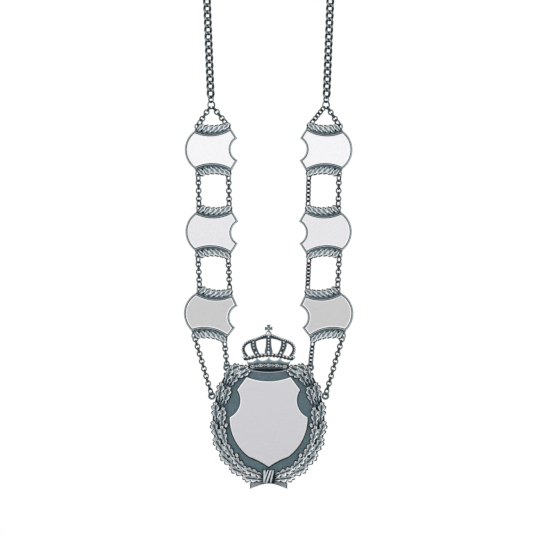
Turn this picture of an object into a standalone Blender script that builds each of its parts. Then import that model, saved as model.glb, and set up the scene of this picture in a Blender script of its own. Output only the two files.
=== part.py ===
"""Shooting guild chain: a curb neck chain, six engraving plates on link strands and a crowned medallion.

Metres, +Z up. The chain hangs in the XZ plane with its fronts towards -Y. Its origin is the underside of
the neck chain at the nape. "Outer" means away from the chain's middle plane, "inner" towards it.
"""

import math
from collections import namedtuple

import bmesh
import bpy
from mathutils import Vector

MM = 0.001

# Rows of the tables below
Section = namedtuple("Section", "x z half_width")
Corner = namedtuple("Corner", "x z rise spans")
LeafRow = namedtuple("LeafRow", "across first last swing")
PlatePlace = namedtuple("PlatePlace", "row x tilt")

# Clearance kept between pieces that touch on the real chain
SEAT_GAP = 0.3 * MM

# Step in depth between cast details that overlap
RELIEF_STEP = 0.11 * MM

# Largest angle between two faces that count as one flat face
FLAT_ANGLE = math.radians(0.2)

# Neck chain: flat curb links of round wire, each one twisted between its two ends
NECK_WIRE = 1.7 * MM
NECK_LINK_LENGTH = 8.85 * MM
NECK_LINK_WIDTH = 6.2 * MM
NECK_LINK_TWIST = math.radians(90.0)
NECK_LINK_COUNT = 56
NECK_LEAN = math.radians(2.25)
NECK_WELD = 0.2 * MM
LINK_SIDES = 10
LINK_BLUNTNESS = 0.75
WIRE_SIDES = 5

# Rings that join the neck chain to the V arms
APEX_X = 45.9 * MM
APEX_RING_DIAMETER = 7.0 * MM
APEX_RING_WIRE = 0.85 * MM
APEX_RING_TURN = math.radians(-25.0)
END_RING_DIAMETER = 6.2 * MM
END_RING_WIRE = 0.85 * MM
END_RING_TURN = math.radians(45.0)

# Oval jump rings at the lugs
JUMP_RING_LENGTH = 6.85 * MM
JUMP_RING_WIDTH = 6.0 * MM
JUMP_RING_WIRE = 0.85 * MM
JUMP_RING_TURN = math.radians(54.0)

# Strands of fine round links, each one held here by a tube of the links' outer diameter
STRAND_DIAMETER = 4.2 * MM
STRAND_POINT_SPACING = 2.5

# Plates, measured from the middle of their four corners
PLATE_THICKNESS = 1.6 * MM
PLATE_CORNER_X = 14.5 * MM
PLATE_INNER_CORNER_Z = 16.9 * MM
PLATE_OUTER_CORNER_Z = 15.2 * MM
PLATE_EAR_X = 19.5 * MM
PLATE_EAR_Z = 8.7 * MM
PLATE_NOTCH_DEPTH = 5.4 * MM
PLATE_BULGE_DEPTH = 7.9 * MM
PLATE_EDGE_SAG = 4.7 * MM
PLATE_RIM_WIDTH = 1.3 * MM
PLATE_RIM_HEIGHT = 0.5 * MM

# Pierced lugs beyond a plate's corners
PLATE_LUG_INSET = 2.4 * MM
PLATE_OUTER_LUG_RISE = 3.7 * MM
PLATE_INNER_LUG_RISE = 2.4 * MM
PLATE_LUG_RADIUS = 2.5 * MM
PLATE_LUG_HOLE = 1.3 * MM
LUG_THICKNESS = 1.0 * MM
LUG_SIDES = 8

# Garlands above and below each plate
GARLAND_OUTER_RISE = 3.0 * MM
GARLAND_INNER_RISE = 3.5 * MM
GARLAND_SPAN = 0.79
GARLAND_ROOT = 0.9 * MM
GARLAND_THICKNESS = 1.5 * MM
GARLAND_LEAF_HEIGHT = 0.9 * MM
GARLAND_LEAF_LEAN = 2.4 * MM
GARLAND_SCALLOP = 0.6 * MM
GARLAND_LEAF_COUNT = 4

# Medallion, measured from its middle
MEDALLION_THICKNESS = 1.6 * MM
MEDALLION_HALF_WIDTH = 44.8 * MM
MEDALLION_DEPTH_DOWN = 48.2 * MM
MEDALLION_RISE_UP = 61.0 * MM
MEDALLION_CUT_ANGLE = math.radians(138.7)
FIELD_HALF_WIDTH = 34.0 * MM
FIELD_DEPTH_DOWN = 38.8 * MM
FIELD_RISE_UP = 49.2 * MM
FIELD_CUT_ANGLE = math.radians(152.0)
WREATH_CREST = 1.2 * MM
WREATH_INNER_HEIGHT = 0.9 * MM
WREATH_SECTIONS = 24
WREATH_LEAF_COUNT = 7
WREATH_LEAF_LENGTH = 18.4 * MM
WREATH_LEAF_WIDTH = 7.4 * MM
WREATH_LEAF_HEIGHT = 1.3 * MM
WREATH_LEAF_EDGE = 0.3 * MM
WREATH_LEAF_WIDEST = 0.55
CORNER_LEAF_FOOT = (0.97, 0.1)
WREATH_ROWS = (
    LeafRow(across=0.22, first=0.108, last=0.91, swing=-0.22),
    LeafRow(across=0.7, first=0.12, last=0.93, swing=0.22),
)

# Pierced lugs outside the wreath: how far up the wreath, and how far out from its edge
UPPER_LUG_SHARE = 0.975
UPPER_LUG_STANDOFF = 2.1 * MM
SIDE_LUG_SHARE = 0.793
SIDE_LUG_STANDOFF = 3.4 * MM
MEDALLION_LUG_RADIUS = 3.1 * MM
MEDALLION_LUG_HOLE = 1.4 * MM
MEDALLION_LUG_ROOT = 2.4 * MM

# Shield on the medallion's field
SHIELD_THICKNESS = 1.5 * MM
SHIELD_BEVEL = 0.7 * MM
SHIELD_BEVEL_DROP = 0.4 * MM

# Corners of the shield's right side, foot first: x and z as shares of the field's half width and of its
# depth or rise, then the rise of the arc to the next corner as a share of the half width, and its spans
SHIELD_CORNERS = (
    Corner(x=0.0, z=-0.9, rise=0.018, spans=3),
    Corner(x=0.46, z=-0.69, rise=-0.124, spans=5),
    Corner(x=0.915, z=0.096, rise=0.153, spans=5),
    Corner(x=0.74, z=0.54, rise=0.0, spans=1),
    Corner(x=0.515, z=0.75, rise=0.126, spans=6),
)

# Crown: the circlet laps over the top edge of the field, and the arches rise from it to the orb
CROWN_THICKNESS = 2.2 * MM
CROWN_RIDGE = 1.0 * MM
CROWN_HALF_WIDTH = 20.0 * MM
CROWN_RISE = 19.8 * MM
CROWN_BAR_WIDTH = 4.0 * MM
CIRCLET_LAP = 1.0 * MM
CIRCLET_HEIGHT = 9.2 * MM
CIRCLET_FOOT_SHARE = 0.74
CIRCLET_TOP_SHARE = 0.86
CIRCLET_ARCH = 2.2 * MM
CIRCLET_SCALLOP = 3.9 * MM
CIRCLET_POINTS = 5
CIRCLET_BEVEL = 0.7 * MM
ORB_RADIUS = 2.4 * MM
CROSS_HEIGHT = 7.0 * MM
CROSS_ARM = 3.2 * MM
CROSS_BAR = 1.1 * MM

# Bars of the crown, right half: x as a share of its half width, z as a share of its rise above the
# circlet, half width as a share of the bar width
OUTER_ARCH = (
    Section(0.86, 0.08, 0.38),
    Section(0.97, 0.22, 0.38),
    Section(1.01, 0.4, 0.33),
    Section(0.93, 0.57, 0.33),
    Section(0.74, 0.69, 0.35),
    Section(0.53, 0.75, 0.35),
    Section(0.33, 0.83, 0.35),
    Section(0.13, 0.89, 0.45),
    Section(-0.05, 0.91, 0.45),
)
MIDDLE_ARCH = (
    Section(0.61, 0.76, 0.5),
    Section(0.61, 0.56, 0.58),
    Section(0.56, 0.37, 0.55),
    Section(0.44, 0.13, 0.5),
)
CENTRE_ARCH = (
    Section(0.0, 0.94, 0.52),
    Section(0.0, 0.53, 0.58),
    Section(0.0, 0.28, 0.82),
    Section(0.0, 0.14, 0.65),
)
PEARL_ROW = (
    Section(0.0, 0.15, 0.33),
    Section(0.42, 0.11, 0.33),
    Section(0.82, 0.02, 0.33),
    Section(1.03, 0.04, 0.22),
)

# Ribbon that ties the wreath
KNOT_HALF_WIDTH = 4.7 * MM
KNOT_LAP = 2.0 * MM
KNOT_HEIGHT = 2.6 * MM
KNOT_BEVEL = 1.2 * MM
TAIL_HEIGHT = 1.2 * MM
TAIL_ROOT = 3.0 * MM
TAIL_ARCH_DROP = 0.7 * MM
TAIL_FOOT_DROP = 4.1 * MM
TAIL_TIP_DROP = 1.6 * MM
TAIL_FOOT_X = 13.2 * MM
TAIL_TIP_X = 15.8 * MM

# Where the plates hang: heights between the holes that the strands join, then for each plate its row, its
# distance from the middle as a share of the apex ring's, and the outward tilt of its foot
ARM_SPAN = 16.9 * MM
STRAND_SPAN = 27.9 * MM
MEDALLION_SPAN = 23.8 * MM
PLATE_PLACES = (
    PlatePlace(row=1, x=0.971, tilt=math.radians(-1.0)),
    PlatePlace(row=2, x=0.959, tilt=math.radians(1.35)),
    PlatePlace(row=3, x=0.987, tilt=math.radians(6.5)),
)


def clear_scene():
    """Remove every object that the file starts with."""
    for thing in list(bpy.data.objects):
        bpy.data.objects.remove(thing, do_unlink=True)


def finish(name, colour, roughness, metallic):
    """A Principled material with a plain colour."""
    material = bpy.data.materials.new(name)
    material.use_nodes = True
    shader = material.node_tree.nodes["Principled BSDF"]
    shader.inputs["Base Color"].default_value = (*colour, 1.0)
    shader.inputs["Roughness"].default_value = roughness
    shader.inputs["Metallic"].default_value = metallic
    return material


def add_object(name, bm, material):
    """Put a finished bmesh into the scene as a named object."""
    bmesh.ops.recalc_face_normals(bm, faces=bm.faces[:])
    mesh = bpy.data.meshes.new(name)
    bm.to_mesh(mesh)
    bm.free()
    if material is not None:
        mesh.materials.append(material)
    thing = bpy.data.objects.new(name, mesh)
    bpy.context.scene.collection.objects.link(thing)
    return thing


def join_solids(base, others, operation="UNION"):
    """Join the other solids to the base, or cut them out of it, and remove them."""
    operands = bpy.data.collections.new(base.name + "_operands")
    for other in others:
        bpy.context.scene.collection.objects.unlink(other)
        operands.objects.link(other)
    bpy.context.scene.collection.children.link(operands)
    modifier = base.modifiers.new("join", "BOOLEAN")
    modifier.operation = operation
    modifier.operand_type = "COLLECTION"
    modifier.collection = operands
    graph = bpy.context.evaluated_depsgraph_get()
    joined = bpy.data.meshes.new_from_object(base.evaluated_get(graph))
    base.modifiers.clear()
    base.data = joined
    joined.name = base.name
    for other in others:
        bpy.data.objects.remove(other, do_unlink=True)
    bpy.data.collections.remove(operands)
    return base


def merge_flat_faces(thing):
    """Merge the neighbouring faces of a solid that lie in one plane."""
    bm = bmesh.new()
    bm.from_mesh(thing.data)
    bmesh.ops.dissolve_limit(bm, angle_limit=FLAT_ANGLE, verts=bm.verts[:], edges=bm.edges[:])
    bm.to_mesh(thing.data)
    bm.free()
    return thing


def arc_points(start, end, rise, count):
    """Points on the arc from start to just before end, which rises by rise to the left of its chord."""
    chord = math.dist(start, end)
    along = Vector((end[0] - start[0], end[1] - start[1])) / chord
    left = Vector((-along.y, along.x))
    if abs(rise) < 1e-9:
        return [tuple(Vector(start) + along * chord * step / count) for step in range(count)]
    half_sweep = 2.0 * math.atan(2.0 * rise / chord)
    radius = chord / (2.0 * math.sin(half_sweep))
    points = []
    for step in range(count):
        angle = half_sweep * (1.0 - 2.0 * step / count)
        forward = 0.5 * chord - radius * math.sin(angle)
        sideways = radius * (math.cos(angle) - math.cos(half_sweep))
        points.append(tuple(Vector(start) + along * forward + left * sideways))
    return points


def mirrored(points):
    """The same points on the other side of the middle plane, in reverse order."""
    return [(-x, z) for x, z in reversed(points)]


def inset(outline, distance):
    """The outline, which runs counter-clockwise, moved inwards by the distance."""
    moved = []
    for index, (x, z) in enumerate(outline):
        before = Vector((x, z)) - Vector(outline[index - 1])
        after = Vector(outline[(index + 1) % len(outline)]) - Vector((x, z))
        before.normalize()
        after.normalize()
        normal_before = Vector((-before.y, before.x))
        normal_after = Vector((-after.y, after.x))
        bisector = (normal_before + normal_after).normalized()
        reach = distance / max(bisector.dot(normal_before), 0.4)
        moved.append((x + bisector.x * reach, z + bisector.y * reach))
    return moved


def stacked_solid(name, levels, place, material=None):
    """A closed solid through outlines of equal length, each at its own depth, with flat ends.

    levels holds pairs of an outline and its y; place turns a point of the outline into x and z.
    """
    bm = bmesh.new()
    rings = []
    for outline, y in levels:
        corners = [place(point) for point in outline]
        rings.append([bm.verts.new((x, y, z)) for x, z in corners])
    for lower, upper in zip(rings, rings[1:]):
        for index in range(len(lower)):
            following = (index + 1) % len(lower)
            bm.faces.new((lower[index], lower[following], upper[following], upper[index]))
    bm.faces.new(rings[0])
    bm.faces.new(rings[-1])
    return add_object(name, bm, material)


def ridged_bar(name, sections, back, front, ridge, place, material=None):
    """A bar of varying width along its sections, with a ridge down the middle of its front."""
    bm = bmesh.new()
    rows = []
    for index, (x, z, half_width) in enumerate(sections):
        ahead = sections[min(index + 1, len(sections) - 1)]
        behind = sections[max(index - 1, 0)]
        along = Vector((ahead[0] - behind[0], ahead[1] - behind[1])).normalized()
        left = place((x - along.y * half_width, z + along.x * half_width))
        middle = place((x, z))
        right = place((x + along.y * half_width, z - along.x * half_width))
        rows.append(
            (
                bm.verts.new((left[0], back, left[1])),
                bm.verts.new((left[0], front, left[1])),
                bm.verts.new((middle[0], ridge, middle[1])),
                bm.verts.new((right[0], front, right[1])),
                bm.verts.new((right[0], back, right[1])),
            )
        )
    for behind, ahead in zip(rows, rows[1:]):
        for index in range(len(behind)):
            following = (index + 1) % len(behind)
            bm.faces.new((behind[index], behind[following], ahead[following], ahead[index]))
    bm.faces.new(rows[0])
    bm.faces.new(rows[-1])
    return add_object(name, bm, material)


def disc_outline(centre, radius):
    """A disc of a few sides round a centre, with flat sides above, below, left and right."""
    outline = []
    for side in range(LUG_SIDES):
        angle = 2.0 * math.pi * (side + 0.5) / LUG_SIDES
        outline.append((centre[0] + radius * math.cos(angle), centre[1] + radius * math.sin(angle)))
    return outline


def teardrop_outline(centre, radius, root):
    """A disc of a few sides round a centre, drawn out to a point at its root."""
    towards_root = math.atan2(root[1] - centre[1], root[0] - centre[0])
    outline = [root]
    for side in range(1, LUG_SIDES):
        angle = towards_root + 2.0 * math.pi * side / LUG_SIDES
        outline.append((centre[0] + radius * math.cos(angle), centre[1] + radius * math.sin(angle)))
    return outline


def pierced_lug(name, centre, radius, hole_radius, root, place):
    """A lug and the cutter of its hole, as two solids."""
    half = 0.5 * LUG_THICKNESS
    lug = teardrop_outline(centre, radius, root)
    hole = disc_outline(centre, hole_radius)
    through = PLATE_THICKNESS + MEDALLION_THICKNESS
    return (
        stacked_solid(name + "_lug", ((lug, half), (lug, -half)), place),
        stacked_solid(name + "_hole", ((hole, through), (hole, -through)), place),
    )


def blunted(value, bluntness):
    """A sine or cosine raised to a power below one, which fills out the ends of an oval."""
    return math.copysign(abs(value) ** bluntness, value)


def add_link(bm, centre, along, across, half_length, half_width, wire, bluntness=1.0, twist=0.0):
    """Add one closed link of round wire: an oval in the plane of along and across, twisted about along.

    half_length and half_width run to the middle of the wire. The first and last side of the oval lie across
    its ends, so that two links that cross there meet on a straight stretch of wire.
    """
    normal = along.cross(across)
    half_step = math.pi / LINK_SIDES
    half_length = half_length / blunted(math.cos(half_step), bluntness)

    def middle_of_wire(angle):
        reach = blunted(math.cos(angle), bluntness)
        turn = 0.5 * twist * reach
        sideways = across * math.cos(turn) + normal * math.sin(turn)
        width = half_width * blunted(math.sin(angle), bluntness)
        return centre + along * (half_length * reach) + sideways * width

    rings = []
    for side in range(LINK_SIDES):
        angle = (2 * side + 1) * half_step
        turn = 0.5 * twist * blunted(math.cos(angle), bluntness)
        facing = normal * math.cos(turn) - across * math.sin(turn)
        tangent = (middle_of_wire(angle + 0.05) - middle_of_wire(angle - 0.05)).normalized()
        outward = tangent.cross(facing).normalized()
        facing = outward.cross(tangent)
        ring = []
        for corner in range(WIRE_SIDES):
            around = 2.0 * math.pi * corner / WIRE_SIDES
            offset = outward * -math.cos(around) + facing * math.sin(around)
            ring.append(bm.verts.new(middle_of_wire(angle) + offset * (0.5 * wire)))
        rings.append(ring)
    for index, ring in enumerate(rings):
        following = rings[(index + 1) % LINK_SIDES]
        for corner in range(WIRE_SIDES):
            beside = (corner + 1) % WIRE_SIDES
            bm.faces.new((ring[corner], ring[beside], following[beside], following[corner]))


def neck_pitch():
    """Distance between neighbouring neck links, whose wires meet by the weld."""
    return NECK_LINK_LENGTH - 2.0 * NECK_WIRE + NECK_WELD


def neck_route():
    """Sizes of the neck chain's route: half its length, its straight run, its arch and the arch's middle."""
    half_length = 0.5 * (NECK_LINK_COUNT * neck_pitch() + NECK_WIRE - NECK_WELD)
    start_x = APEX_X + rise_of_rings() * math.sin(NECK_LEAN)
    half_sweep = 0.5 * math.pi + NECK_LEAN
    straight = half_length - start_x / math.cos(NECK_LEAN) * half_sweep
    straight /= 1.0 + math.tan(NECK_LEAN) * half_sweep
    radius = (start_x + straight * math.sin(NECK_LEAN)) / math.cos(NECK_LEAN)
    middle_z = 0.5 * NECK_LINK_WIDTH - radius
    return half_length, straight, radius, middle_z


def neck_point(distance):
    """Point of the neck chain's middle line at a distance from the nape, and its direction there."""
    half_length, straight, radius, middle_z = neck_route()
    side = math.copysign(1.0, distance)
    angle = min(abs(distance) / radius, 0.5 * math.pi + NECK_LEAN)
    down = max(abs(distance) - (half_length - straight), 0.0)
    along = Vector((math.cos(angle), 0.0, -side * math.sin(angle)))
    x = side * radius * math.sin(angle) + side * down * along.x
    z = middle_z + radius * math.cos(angle) - down * abs(along.z)
    return Vector((x, 0.0, z)), along


def rise_of_rings():
    """Height from the middle of the apex ring to the wire of the neck chain's last link."""
    apex_reach = 0.5 * (APEX_RING_DIAMETER - APEX_RING_WIRE)
    end_reach = 0.5 * (END_RING_DIAMETER - END_RING_WIRE)
    lower_contact = 0.5 * (APEX_RING_WIRE + END_RING_WIRE) + SEAT_GAP
    upper_contact = 0.5 * (NECK_WIRE + END_RING_WIRE) + SEAT_GAP
    return apex_reach - lower_contact + 2.0 * end_reach - upper_contact


def apex_middle(side):
    """Middle of the apex ring on one side."""
    half_length = neck_route()[0]
    last_wire, along = neck_point(side * half_length)
    return last_wire + along * (side * rise_of_rings())


def build_neck_chain(material):
    """The curb chain as one fused body: its odd links and its even links interlock and meet."""
    half_length = neck_route()[0]
    first = -half_length + 0.5 * (NECK_LINK_LENGTH - NECK_WIRE)
    halves = (bmesh.new(), bmesh.new())
    for index in range(NECK_LINK_COUNT):
        centre, along = neck_point(first + index * neck_pitch())
        across = Vector((-along.z, 0.0, along.x))
        add_link(
            halves[index % 2],
            centre,
            along,
            across,
            0.5 * (NECK_LINK_LENGTH - NECK_WIRE),
            0.5 * (NECK_LINK_WIDTH - NECK_WIRE),
            NECK_WIRE,
            LINK_BLUNTNESS,
            NECK_LINK_TWIST,
        )
    chain = add_object("neck_chain", halves[0], material)
    other = add_object("neck_chain_even_links", halves[1], None)
    return join_solids(chain, [other])


def build_ring(name, centre, along, turn, length, width, wire, material):
    """A jump ring round its centre: along points down its length, turn swings it about that line."""
    bm = bmesh.new()
    in_plane = Vector((-along.z, 0.0, along.x))
    across = in_plane * math.cos(turn) + Vector((0.0, 1.0, 0.0)) * math.sin(turn)
    add_link(bm, centre, along, across, 0.5 * (length - wire), 0.5 * (width - wire), wire)
    return add_object(name, bm, material)


def build_neck_rings(side, label, material):
    """The end ring and the apex ring below the neck chain on one side."""
    apex = apex_middle(side)
    half_length = neck_route()[0]
    last_wire, along = neck_point(side * half_length)
    down = along * side
    end_reach = 0.5 * (END_RING_DIAMETER - END_RING_WIRE)
    upper_contact = 0.5 * (NECK_WIRE + END_RING_WIRE) + SEAT_GAP
    end_middle = last_wire + down * (end_reach - upper_contact)
    build_ring(
        "end_ring_" + label,
        end_middle,
        down,
        END_RING_TURN,
        END_RING_DIAMETER,
        END_RING_DIAMETER,
        END_RING_WIRE,
        material,
    )
    build_ring(
        "apex_ring_" + label,
        apex,
        down,
        APEX_RING_TURN,
        APEX_RING_DIAMETER,
        APEX_RING_DIAMETER,
        APEX_RING_WIRE,
        material,
    )


def build_strand_tube(name, start, end, material):
    """The tube that stands for a strand of fine links, from start to end."""
    length = (end - start).length
    spans = max(2, math.ceil(length / (STRAND_POINT_SPACING * STRAND_DIAMETER)))
    curve = bpy.data.curves.new(name, "CURVE")
    curve.dimensions = "3D"
    curve.bevel_depth = 0.5 * STRAND_DIAMETER
    curve.bevel_resolution = 2
    curve.use_fill_caps = True
    spline = curve.splines.new("POLY")
    spline.points.add(spans)
    for index, point in enumerate(spline.points):
        place = start.lerp(end, index / spans)
        point.co = (place.x, place.y, place.z, 1.0)
    curve.materials.append(material)
    tube = bpy.data.objects.new(name, curve)
    bpy.context.scene.collection.objects.link(tube)
    return tube


def jump_ring_from(name, hole, hole_radius, direction, turn, material):
    """A jump ring that hangs in a hole and leads away from it; returns the middle of its far wire."""
    seat = hole_radius * math.cos(math.pi / LUG_SIDES)
    near_wire = hole + direction * (seat - 0.5 * JUMP_RING_WIRE - SEAT_GAP)
    reach = 0.5 * (JUMP_RING_LENGTH - JUMP_RING_WIRE)
    build_ring(
        name,
        near_wire + direction * reach,
        direction,
        turn,
        JUMP_RING_LENGTH,
        JUMP_RING_WIDTH,
        JUMP_RING_WIRE,
        material,
    )
    return near_wire + direction * (2.0 * reach)


def build_strand(name, upper, lower, upper_ring, lower_ring, side, material):
    """A strand from one hole to another, with a jump ring at each end that is to have one.

    upper and lower are pairs of the hole's middle and the radius that the strand keeps clear of there.
    """
    direction = (lower[0] - upper[0]).normalized()
    ring_clearance = 0.5 * JUMP_RING_WIRE + SEAT_GAP
    start = upper[0] + direction * (upper[1] + SEAT_GAP)
    if upper_ring:
        wire = jump_ring_from(
            name + "_upper_ring", *upper, direction, side * JUMP_RING_TURN, material
        )
        start = wire + direction * ring_clearance
    end = lower[0] - direction * (lower[1] + SEAT_GAP)
    if lower_ring:
        wire = jump_ring_from(
            name + "_lower_ring", *lower, -direction, side * JUMP_RING_TURN, material
        )
        end = wire - direction * ring_clearance
    build_strand_tube(name, start, end, material)


def plate_top_edge(count):
    """Points along a plate's concave top edge, from its outer corner to just before the inner one."""
    outer_top = (PLATE_CORNER_X, PLATE_OUTER_CORNER_Z)
    inner_top = (-PLATE_CORNER_X, PLATE_INNER_CORNER_Z)
    return arc_points(outer_top, inner_top, PLATE_EDGE_SAG, count)


def plate_outline():
    """Counter-clockwise outline of a plate, seen from the front on the right side of the chain."""
    top_edge = plate_top_edge(4)
    inner_top = (-PLATE_CORNER_X, PLATE_INNER_CORNER_Z)
    ear_top = (-PLATE_EAR_X, PLATE_EAR_Z)
    ear_foot = (-PLATE_EAR_X, -PLATE_EAR_Z)
    outer_top = top_edge[0]
    outer_foot = (outer_top[0], -outer_top[1])
    foot_edge = [(x, -z) for x, z in reversed(top_edge[1:] + [inner_top])]
    outline = [inner_top]
    outline += arc_points(ear_top, ear_foot, PLATE_NOTCH_DEPTH, 4)
    outline += [ear_foot]
    outline += foot_edge
    outline += arc_points(outer_foot, outer_top, -PLATE_BULGE_DEPTH, 6)
    outline += top_edge
    return outline


def plate_place(side, centre, tilt):
    """The turn and shift that bring a plate's own x and z to the chain's, for one side."""

    def place(point):
        u = point[0] * math.cos(tilt) - point[1] * math.sin(tilt)
        v = point[0] * math.sin(tilt) + point[1] * math.cos(tilt)
        return side * (centre.x + u), centre.z + v

    return place


def garland_lines():
    """Foot and tip of each line of a garland, leaf valleys and leaf ridges by turns, for the top one."""
    count = 2 * GARLAND_LEAF_COUNT + 1
    edge = plate_top_edge(count + 1)[1:]
    outer_z = PLATE_OUTER_CORNER_Z + GARLAND_OUTER_RISE
    inner_z = PLATE_INNER_CORNER_Z + GARLAND_INNER_RISE
    lines = []
    for index, (x, z) in enumerate(edge):
        share = index / (count - 1)
        lean = GARLAND_LEAF_LEAN * (1.0 - (2.0 * share - 1.0) ** 2)
        tip_z = outer_z + (inner_z - outer_z) * share + GARLAND_SCALLOP * (index % 2)
        lines.append(((x + lean, z - GARLAND_ROOT), (x * GARLAND_SPAN - lean, tip_z)))
    return lines


def build_garland(name, flip, place):
    """The slanting leaves above a plate, or below it when flip is -1, as one corrugated body.

    The leaves rise from behind the plate's rim towards their tips.
    """
    back = 0.5 * LUG_THICKNESS - RELIEF_STEP
    foot_front = back - 0.5 * PLATE_THICKNESS
    valley = back - GARLAND_THICKNESS
    bm = bmesh.new()
    rows = []
    for index, (foot, tip) in enumerate(garland_lines()):
        foot_x, foot_z = place((foot[0], flip * foot[1]))
        tip_x, tip_z = place((tip[0], flip * tip[1]))
        tip_front = valley - GARLAND_LEAF_HEIGHT * (index % 2)
        rows.append(
            (
                bm.verts.new((foot_x, back, foot_z)),
                bm.verts.new((foot_x, foot_front, foot_z)),
                bm.verts.new((tip_x, tip_front, tip_z)),
                bm.verts.new((tip_x, back, tip_z)),
            )
        )
    for before, after in zip(rows, rows[1:]):
        for index in range(4):
            following = (index + 1) % 4
            bm.faces.new((before[index], before[following], after[following], after[index]))
    bm.faces.new(rows[0])
    bm.faces.new(rows[-1])
    return add_object(name, bm, None)


def plate_lug(end, flip):
    """Middle of a plate's lug in its own frame: end is 1 for the outer end, flip is 1 for the top."""
    if end > 0.0:
        return PLATE_CORNER_X - PLATE_LUG_INSET, flip * (PLATE_OUTER_CORNER_Z + PLATE_OUTER_LUG_RISE)
    return PLATE_LUG_INSET - PLATE_CORNER_X, flip * (PLATE_INNER_CORNER_Z + PLATE_INNER_LUG_RISE)


def build_plate(name, place, material):
    """One plate casting: rimmed field, two garlands and four pierced lugs."""
    outline = plate_outline()
    field = inset(outline, PLATE_RIM_WIDTH)
    back = 0.5 * PLATE_THICKNESS
    levels = ((outline, back), (outline, -back - PLATE_RIM_HEIGHT), (field, -back))
    plate = stacked_solid(name, levels, place, material)
    others = [
        build_garland(name + "_garland_top", 1.0, place),
        build_garland(name + "_garland_foot", -1.0, place),
    ]
    cutters = []
    for end in (-1.0, 1.0):
        for flip in (-1.0, 1.0):
            corner_z = PLATE_OUTER_CORNER_Z if end > 0.0 else PLATE_INNER_CORNER_Z
            root = (end * (PLATE_CORNER_X - PLATE_RIM_WIDTH), flip * (corner_z - PLATE_RIM_WIDTH))
            lug, hole = pierced_lug(
                name, plate_lug(end, flip), PLATE_LUG_RADIUS, PLATE_LUG_HOLE, root, place
            )
            others.append(lug)
            cutters.append(hole)
    join_solids(plate, others)
    return merge_flat_faces(join_solids(plate, cutters, "DIFFERENCE"))


def egg_point(angle, half_width, depth, rise):
    """Point of an egg outline at an angle from its lowest point, right side for positive angles."""
    height = depth if abs(angle) < 0.5 * math.pi else rise
    return half_width * math.sin(angle), -height * math.cos(angle)


def wreath_point(share, across):
    """Point of the wreath band: share runs from -1 through the knot to 1, across from its rim inwards."""
    outer = egg_point(
        share * MEDALLION_CUT_ANGLE, MEDALLION_HALF_WIDTH, MEDALLION_DEPTH_DOWN, MEDALLION_RISE_UP
    )
    inner = egg_point(share * FIELD_CUT_ANGLE, FIELD_HALF_WIDTH, FIELD_DEPTH_DOWN, FIELD_RISE_UP)
    return outer[0] + (inner[0] - outer[0]) * across, outer[1] + (inner[1] - outer[1]) * across


def wreath_ring(across):
    """Closed outline of the wreath at one distance across its band."""
    return [
        wreath_point(2.0 * section / WREATH_SECTIONS - 1.0, across) for section in range(WREATH_SECTIONS + 1)
    ]


def build_leaf(start, end, layer, place, front):
    """A raised leaf: a ridged section across its widest place, drawn to a point at both ends."""
    along = (end - start).normalized()
    reach = Vector((-along.y, along.x)) * (0.5 * WREATH_LEAF_WIDTH)
    middle = start.lerp(end, WREATH_LEAF_WIDEST)
    back = SEAT_GAP - layer
    edge = front - WREATH_CREST - WREATH_LEAF_EDGE - layer
    ridge = edge - WREATH_LEAF_HEIGHT
    bm = bmesh.new()
    section = []
    for point, y in (
        (middle + reach, back),
        (middle + reach, edge),
        (middle, ridge),
        (middle - reach, edge),
        (middle - reach, back),
    ):
        x, z = place(point)
        section.append(bm.verts.new((x, y, z)))
    for point in (start, end):
        x, z = place(point)
        tip_back = bm.verts.new((x, back, z))
        tip_front = bm.verts.new((x, edge, z))
        bm.faces.new((section[0], section[1], tip_front, tip_back))
        bm.faces.new((section[1], section[2], tip_front))
        bm.faces.new((section[2], section[3], tip_front))
        bm.faces.new((section[3], section[4], tip_back, tip_front))
        bm.faces.new((section[4], section[0], tip_back))
    return add_object("leaf", bm, None)


def build_wreath_leaves(place, front):
    """Raised oak leaves in two rows a side that point up from the knot, and one more beside the crown."""
    leaves = []
    for side in (-1.0, 1.0):
        for number, row in enumerate(WREATH_ROWS):
            for index in range(WREATH_LEAF_COUNT):
                share = row.first + (row.last - row.first) * index / (WREATH_LEAF_COUNT - 1)
                middle = Vector(wreath_point(side * share, row.across))
                behind = Vector(wreath_point(side * (share - 0.05), row.across))
                angle = math.atan2(middle.y - behind.y, middle.x - behind.x) + side * row.swing
                half = Vector((math.cos(angle), math.sin(angle))) * (0.5 * WREATH_LEAF_LENGTH)
                layer = RELIEF_STEP * (index % 3 + 0.5 * number)
                leaves.append(build_leaf(middle - half, middle + half, layer, place, front))
        foot_share, foot_across = CORNER_LEAF_FOOT
        start = Vector(wreath_point(side * foot_share, foot_across))
        end = Vector(wreath_point(side, 1.0))
        leaves.append(build_leaf(start, end, 3.0 * RELIEF_STEP, place, front))
    return leaves


def crown_shoulder():
    """Height of the circlet's outer points, above which the crown's arches rise."""
    return wreath_point(1.0, 1.0)[1] - CIRCLET_LAP + CIRCLET_HEIGHT


def crown_bar(shares, side=1.0):
    """Sections of a crown bar in metres, on the right side or mirrored to the left."""
    shoulder = crown_shoulder()
    return [
        (
            side * section.x * CROWN_HALF_WIDTH,
            shoulder + section.z * CROWN_RISE,
            section.half_width * CROWN_BAR_WIDTH,
        )
        for section in shares
    ]


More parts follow.
